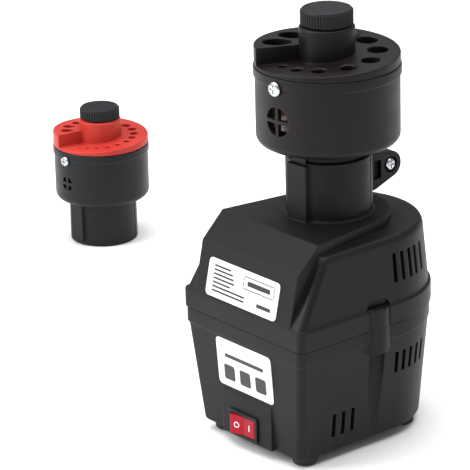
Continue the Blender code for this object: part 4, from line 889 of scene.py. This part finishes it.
def makeKnob(name, head, body):
    seat = head["low"] + head["height"] + head["bossHeight"]
    low, end, stem = seat + knob["gap"], seat - knob["stemInCap"], cap["stem"]
    high, radius = low + head["knobHeight"], head["knob"]
    profile = [(0, high - 0.35), (radius - 3.4, high - 0.35), (radius - 2.9, high - 0.3)]
    profile += [(radius - 2.5, high - 0.02), (radius - 1.6, high), (radius - 0.9, high - 0.25)]
    profile += [(radius - 0.55, high - 0.9), (radius - 0.5, high - 1.6), (radius - 0.5, low + 0.5)]
    made = lathe(name, profile + [(radius - 0.9, low), (stem, low), (stem, end), (0, end)], 104)
    rib = rod("rib", knob["rib"], (0, 0, low + 0.15), (0, 0, high - 1.1), 10, bevel=0.2)
    ring = [(x, y, 0) for x, y in arc((0, 0), radius - knob["rib"], 0, 360, head["knobRibs"])[:-1]]
    join(made, repeated("ribs", ring, rib, "knob"))
    made.data.transform(Matrix.Translation((*head["at"], 0)))
    finishPiece(made, body, "knob", "black_plastic", name + "_knob")


def crossScrew(name, radius, rise, length, shank):
    # along X: the underside of the head is at zero
    dome = ((1, 0.4), (0.93, 0.66), (0.78, 0.84), (0.5, 0.96), (0, 1))
    profile = [(0, -length), (shank, -length), (shank, 0), (radius - 0.15, 0), (radius, 0.15)]
    profile += [(radius * across, rise * up) for across, up in dome]
    made = lathe(name, profile, 48)
    made.data.transform(Matrix.Rotation(math.radians(90), 4, "Y"))
    wide = radius * 0.62
    cut(made, block("slotA", (rise - 0.9, -wide, -0.42), (rise + 1, wide, 0.42)),
        block("slotB", (rise - 1.0, -0.43, -wide), (rise + 1, 0.43, wide)))
    return made


def makeCapScrews(name, head, body):
    radius, drop = head["screw"]
    reach = head["radius"] + head["lip"] + 0.12
    screw = crossScrew("screw", radius, 1.6, reach - (head["radius"] - 6.1), 1.7)
    spots = [(reach * math.cos(turn), reach * math.sin(turn), 0) for turn in screwTurns()]
    pair = repeated(name + "CapScrews", spots, screw, "zinc")
    pair.data.transform(Matrix.Translation((*head["at"], head["low"] + head["height"] - drop)))
    finishPiece(pair, body, "zinc", "zinc_steel", name + "_cap_screw_front", name + "_cap_screw_back")


for name, head, body, drumPaint, capPaint, capSlot in (
        ("head", mounted, "head", "head", "head", "black_plastic"),
        ("spare", loose, "spare", "spareDrum", "red", "red_plastic")):
    makeDrum(name, head, body, drumPaint)
    makeCap(name, head, body, capPaint, capSlot)
    makeKnob(name, head, body + "_dial")
    makeCapScrews(name, head, body)
    print(name, "made")


# ---- small pieces

clamp = {"screw": 3.3, "head": 2.2, "nut": 3.6, "nutThick": 2.5, "nutBore": 2.2, "shank": 1.9, "sink": 1.5}
label = {"gap": 0.1, "thick": 0.4, "corner": 2.4, "ink": 0.06}
# a mark: place across and up from the label's middle, half width, half height, corner radius
ratingSticker = {
    "heights": (80.6, 100.2), "half": 28.2, "x": -1.2,
    "marks": [(-17, 6.6, 6.5, 0.5, 0.3), (-16, 4.4, 7.5, 0.5, 0.3), (-15.5, 2.2, 8, 0.5, 0.3),
              (-15, 0.0, 8.5, 0.5, 0.3), (-16.5, -2.2, 7, 0.5, 0.3), (-10.5, -4.4, 13, 0.5, 0.3),
              (-10.5, -6.6, 13, 0.5, 0.3), (12.5, 6.9, 11.8, 0.25, 0.2), (12.5, 0.5, 11.8, 0.25, 0.2),
              (0.5, 3.7, 0.25, 2.8, 0.2), (24.5, 3.7, 0.25, 2.8, 0.2), (12.5, 3.7, 9.0, 1.3, 0.6),
              (18, -5.6, 5.5, 1.0, 0.4)],
}
frontSticker = {
    "heights": (32.4, 59.2), "half": 22.0, "x": 0.4,
    "marks": [(0, 4.4, 15.5, 1.1, 0.5), (-12.6, -5.2, 4.3, 4.3, 1.3), (0, -5.2, 4.3, 4.3, 1.3),
              (12.6, -5.2, 4.3, 4.3, 1.3)],
}
switch = {
    "x": -2.0, "z": 13.4, "bezel": (22.4, 14.2), "front": -59.5, "lip": 0.9, "wall": 1.6, "deep": 15.5,
    "roomBack": -52.2, "axisY": -57.6, "tilt": math.radians(9), "slack": (0.9, 0.35),
}
footShape = {
    "profile": [(0, 9.6), (2.6, 9.6), (2.6, 4.7), (6.2, 4.7), (6.6, 4.3), (6.6, 1.2), (6.25, 0.4), (5.4, 0),
                (0, 0)],
}
inletShape = {
    "profile": [(3.4, -5.4), (6.0, -5.4), (6.0, 0.3), (7.7, 0.3), (8.0, 0.6), (8.0, 1.9), (7.5, 2.4),
                (4.2, 2.4), (3.4, 1.6)],
}


def makeClamp():
    y, z, half = collar["earY"], collar["earZ"], collar["earHalf"]
    seat = half - clamp["sink"]
    screw = crossScrew("clampScrew", clamp["screw"], clamp["head"], seat + half + 1.5, clamp["shank"])
    screw.data.transform(Matrix.Translation((seat, y, z)))
    finishPiece(screw, "clamp", "zinc", "zinc_steel", "clamp_screw")
    low = -half - 0.4
    nut = rod("clampNut", clamp["nut"], (low, y, z), (low + clamp["nutThick"], y, z), 6, bevel=0.3)
    cut(nut, rod("nutBore", clamp["nutBore"], (low - 2, y, z), (0, y, z), 32))
    finishPiece(nut, "base", "zinc", "zinc_steel", "clamp_nut")


def roundedRectangle(half, halfHigh, corner, middle=(0, 0), steps=8):
    points = []
    for sx, sy, start in ((1, -1, -90), (1, 1, 0), (-1, 1, 90), (-1, -1, 180)):
        spot = (middle[0] + sx * (half - corner), middle[1] + sy * (halfHigh - corner))
        points += arc(spot, corner, start, start + 90, steps)
    return points


def makeLabel(name, sticker, frontAt):
    # a printed sticker on the wall: plain bars and squares stand in for any print
    low, high = sticker["heights"]
    lowFront, highFront = frontAt(low), frontAt(high)
    outward = Vector((0, low - high, lowFront - highFront)).normalized()
    halfHigh = math.hypot(high - low, lowFront - highFront) / 2
    middle = Vector((sticker["x"], -(lowFront + highFront) / 2, (low + high) / 2))
    gap, thick, ink = label["gap"], label["thick"], label["ink"]
    outline = roundedRectangle(sticker["half"], halfHigh, label["corner"])
    sheet = slab(name, outline, thick, facing(middle + outward * (gap + thick / 2), outward), 0.06)
    finishPiece(sheet, "base", "film", "label", name)
    place = facing(middle + outward * (gap + thick + ink / 2 + 0.01), outward)
    prints = [slab(name + "Print", roundedRectangle(w, h, min(r, w, h), (u, v), 6), ink, place)
              for u, v, w, h, r in sticker["marks"]]
    join(prints[0], *prints[1:])
    finishPiece(prints[0], "base", "ink", "label")


def blockFront(z):
    low, high = casing["blockBottom"], casing["facetLow"]
    return casing["blockLow"] + (casing["blockHigh"] - casing["blockLow"]) * (z - low) / (high - low)


def makeSwitchBody():
    x, z, face, lip, wall = switch["x"], switch["z"], switch["front"], switch["lip"], switch["wall"]
    half, halfHigh = switch["bezel"][0] / 2, switch["bezel"][1] / 2
    upright = Matrix(((1, 0, 0, 0), (0, 0, 1, face - lip / 2), (0, 1, 0, 0), (0, 0, 0, 1)))
    made = slab("switchBody", roundedRectangle(half, halfHigh, 0.8, (x, z)), lip, upright, 0.25)
    join(made, block("barrel", (x - half + lip, face - 0.5, z - halfHigh + lip),
                     (x + half - lip, face + switch["deep"] - 0.5, z + halfHigh - lip)))
    cut(made, block("room", (x - half + wall, face - 3, z - halfHigh + wall),
                    (x + half - wall, switch["roomBack"], z + halfHigh - wall), 0.3))
    finishPiece(made, "base", "knob", "black_plastic", "switch_body")


def makeRocker():
    slackWide, slackHigh = switch["slack"]
    reach = switch["bezel"][0] / 2 - switch["wall"] - slackWide
    high = 2 * (switch["bezel"][1] / 2 - switch["wall"] - slackHigh)
    outline = [(-reach, -3.4), (-reach + 0.6, -3.9), (0, -2.5), (reach - 0.6, -3.9), (reach, -3.4)]
    outline += [(reach - 0.3, 0.6), (3.0, 3.2), (-3.0, 3.2), (-reach + 0.3, 0.6)]
    spot = (switch["x"], switch["axisY"], switch["z"])
    place = Matrix.Translation(spot) @ Matrix.Rotation(switch["tilt"], 4, "Z")
    made = slab("rocker", outline, high, place, 0.35)
    finishPiece(made, "rocker", "rocker", "rocker_plastic", "switch_rocker")
    ring = lathe("off", [(1.15, -0.05), (1.65, -0.05), (1.65, 0.12), (1.15, 0.12)], 40)
    ring.data.transform(facing((-reach / 2, -3.27, 0), (0.166, -1, 0)))
    join(ring, block("on", (reach / 2 - 0.28, -3.38, -1.7), (reach / 2 + 0.28, -3.1, 1.7)))
    ring.data.transform(place)
    finishPiece(ring, "rocker", "mark", "label")


def makeFeet():
    spots = [(x, y, 0) for x, y in casing["feet"]]
    feet = repeated("feet", spots, lathe("foot", footShape["profile"], 48), "rubber")
    finishPiece(feet, "base", "rubber", "rubber", "foot_front_left", "foot_front_right", "foot_back_left",
                "foot_back_right")


def makeCordInlet():
    made = lathe("cordInlet", inletShape["profile"], 64)
    made.data.transform(facing(cordPoint(0), cordPoint(1) - cordPoint(0)))
    finishPiece(made, "base", "rubber", "rubber", "cable_inlet")


makeClamp()
makeLabel("rating_label", ratingSticker, blockFront)
makeLabel("front_label", frontSticker, lambda z: lowerWall(z)[1])
makeSwitchBody()
makeRocker()
makeFeet()
makeCordInlet()
print("small pieces made")


# ---- camera, light and floor

# metres; a lamp: x, y, z, size, watts
look = {
    "camera": (1.20228, -1.04048, 0.69177), "right": (0.63703, 0.77048, -0.02379),
    "up": (-0.25205, 0.23736, 0.93815), "back": (0.7285, -0.5916, 0.3455), "lens": 247.5, "world": 0.34,
    "top": (-0.1, 0.0, 1.9, 2.6, 70.0), "key": (-0.9, -1.5, 1.0, 1.0, 27.0), "fill": (1.7, 0.9, 0.9, 1.0, 1.5),
}


def makeCamera():
    data = bpy.data.cameras.new("camera")
    data.lens, data.sensor_width = look["lens"], 36.0
    data.clip_end = 20
    camera = bpy.data.objects.new("camera", data)
    bpy.context.scene.collection.objects.link(camera)
    turn = Matrix((look["right"], look["up"], look["back"])).transposed().to_4x4()
    camera.matrix_world = Matrix.Translation(look["camera"]) @ turn
    bpy.context.scene.camera = camera


def makeSoftbox(name, x, y, z, size, power, target=(0, 0, 0.1)):
    data = bpy.data.lights.new(name, "AREA")
    data.size, data.energy = size, power
    lamp = bpy.data.objects.new(name, data)
    bpy.context.scene.collection.objects.link(lamp)
    lamp.location = (x, y, z)
    lamp.rotation_euler = (Vector(target) - Vector((x, y, z))).to_track_quat("-Z", "Y").to_euler()


def makeStudio():
    bm = bmesh.new()
    bmesh.ops.create_grid(bm, x_segments=1, y_segments=1, size=6.0)
    floor = objectFrom(bm, "floor")
    floor.location = (0, 0, -0.0002)
    made, tree, shader, place = startMaterial("pale painted floor", Roughness=0.9)
    speck = addNode(tree, "ShaderNodeTexNoise", {"Scale": 30.0}, {"Vector": (place, "Object")})
    tint = colourRamp(tree, speck, "Fac", [(0.3, "#f8f8f7"), (0.7, "#fafaf9")])
    tree.links.new(tint.outputs["Color"], shader.inputs["Base Color"])
    floor.data.materials.append(made)
    world = bpy.data.worlds.new("studio")
    bpy.context.scene.world = world
    world.use_nodes = True
    world.node_tree.nodes["Background"].inputs["Color"].default_value = (1, 1, 1, 1)
    world.node_tree.nodes["Background"].inputs["Strength"].default_value = look["world"]
    for name in ("top", "key", "fill"):
        makeSoftbox(name, *look[name])


makeCamera()
makeStudio()
bpy.context.scene.view_settings.view_transform = "Standard"
print("studio made")
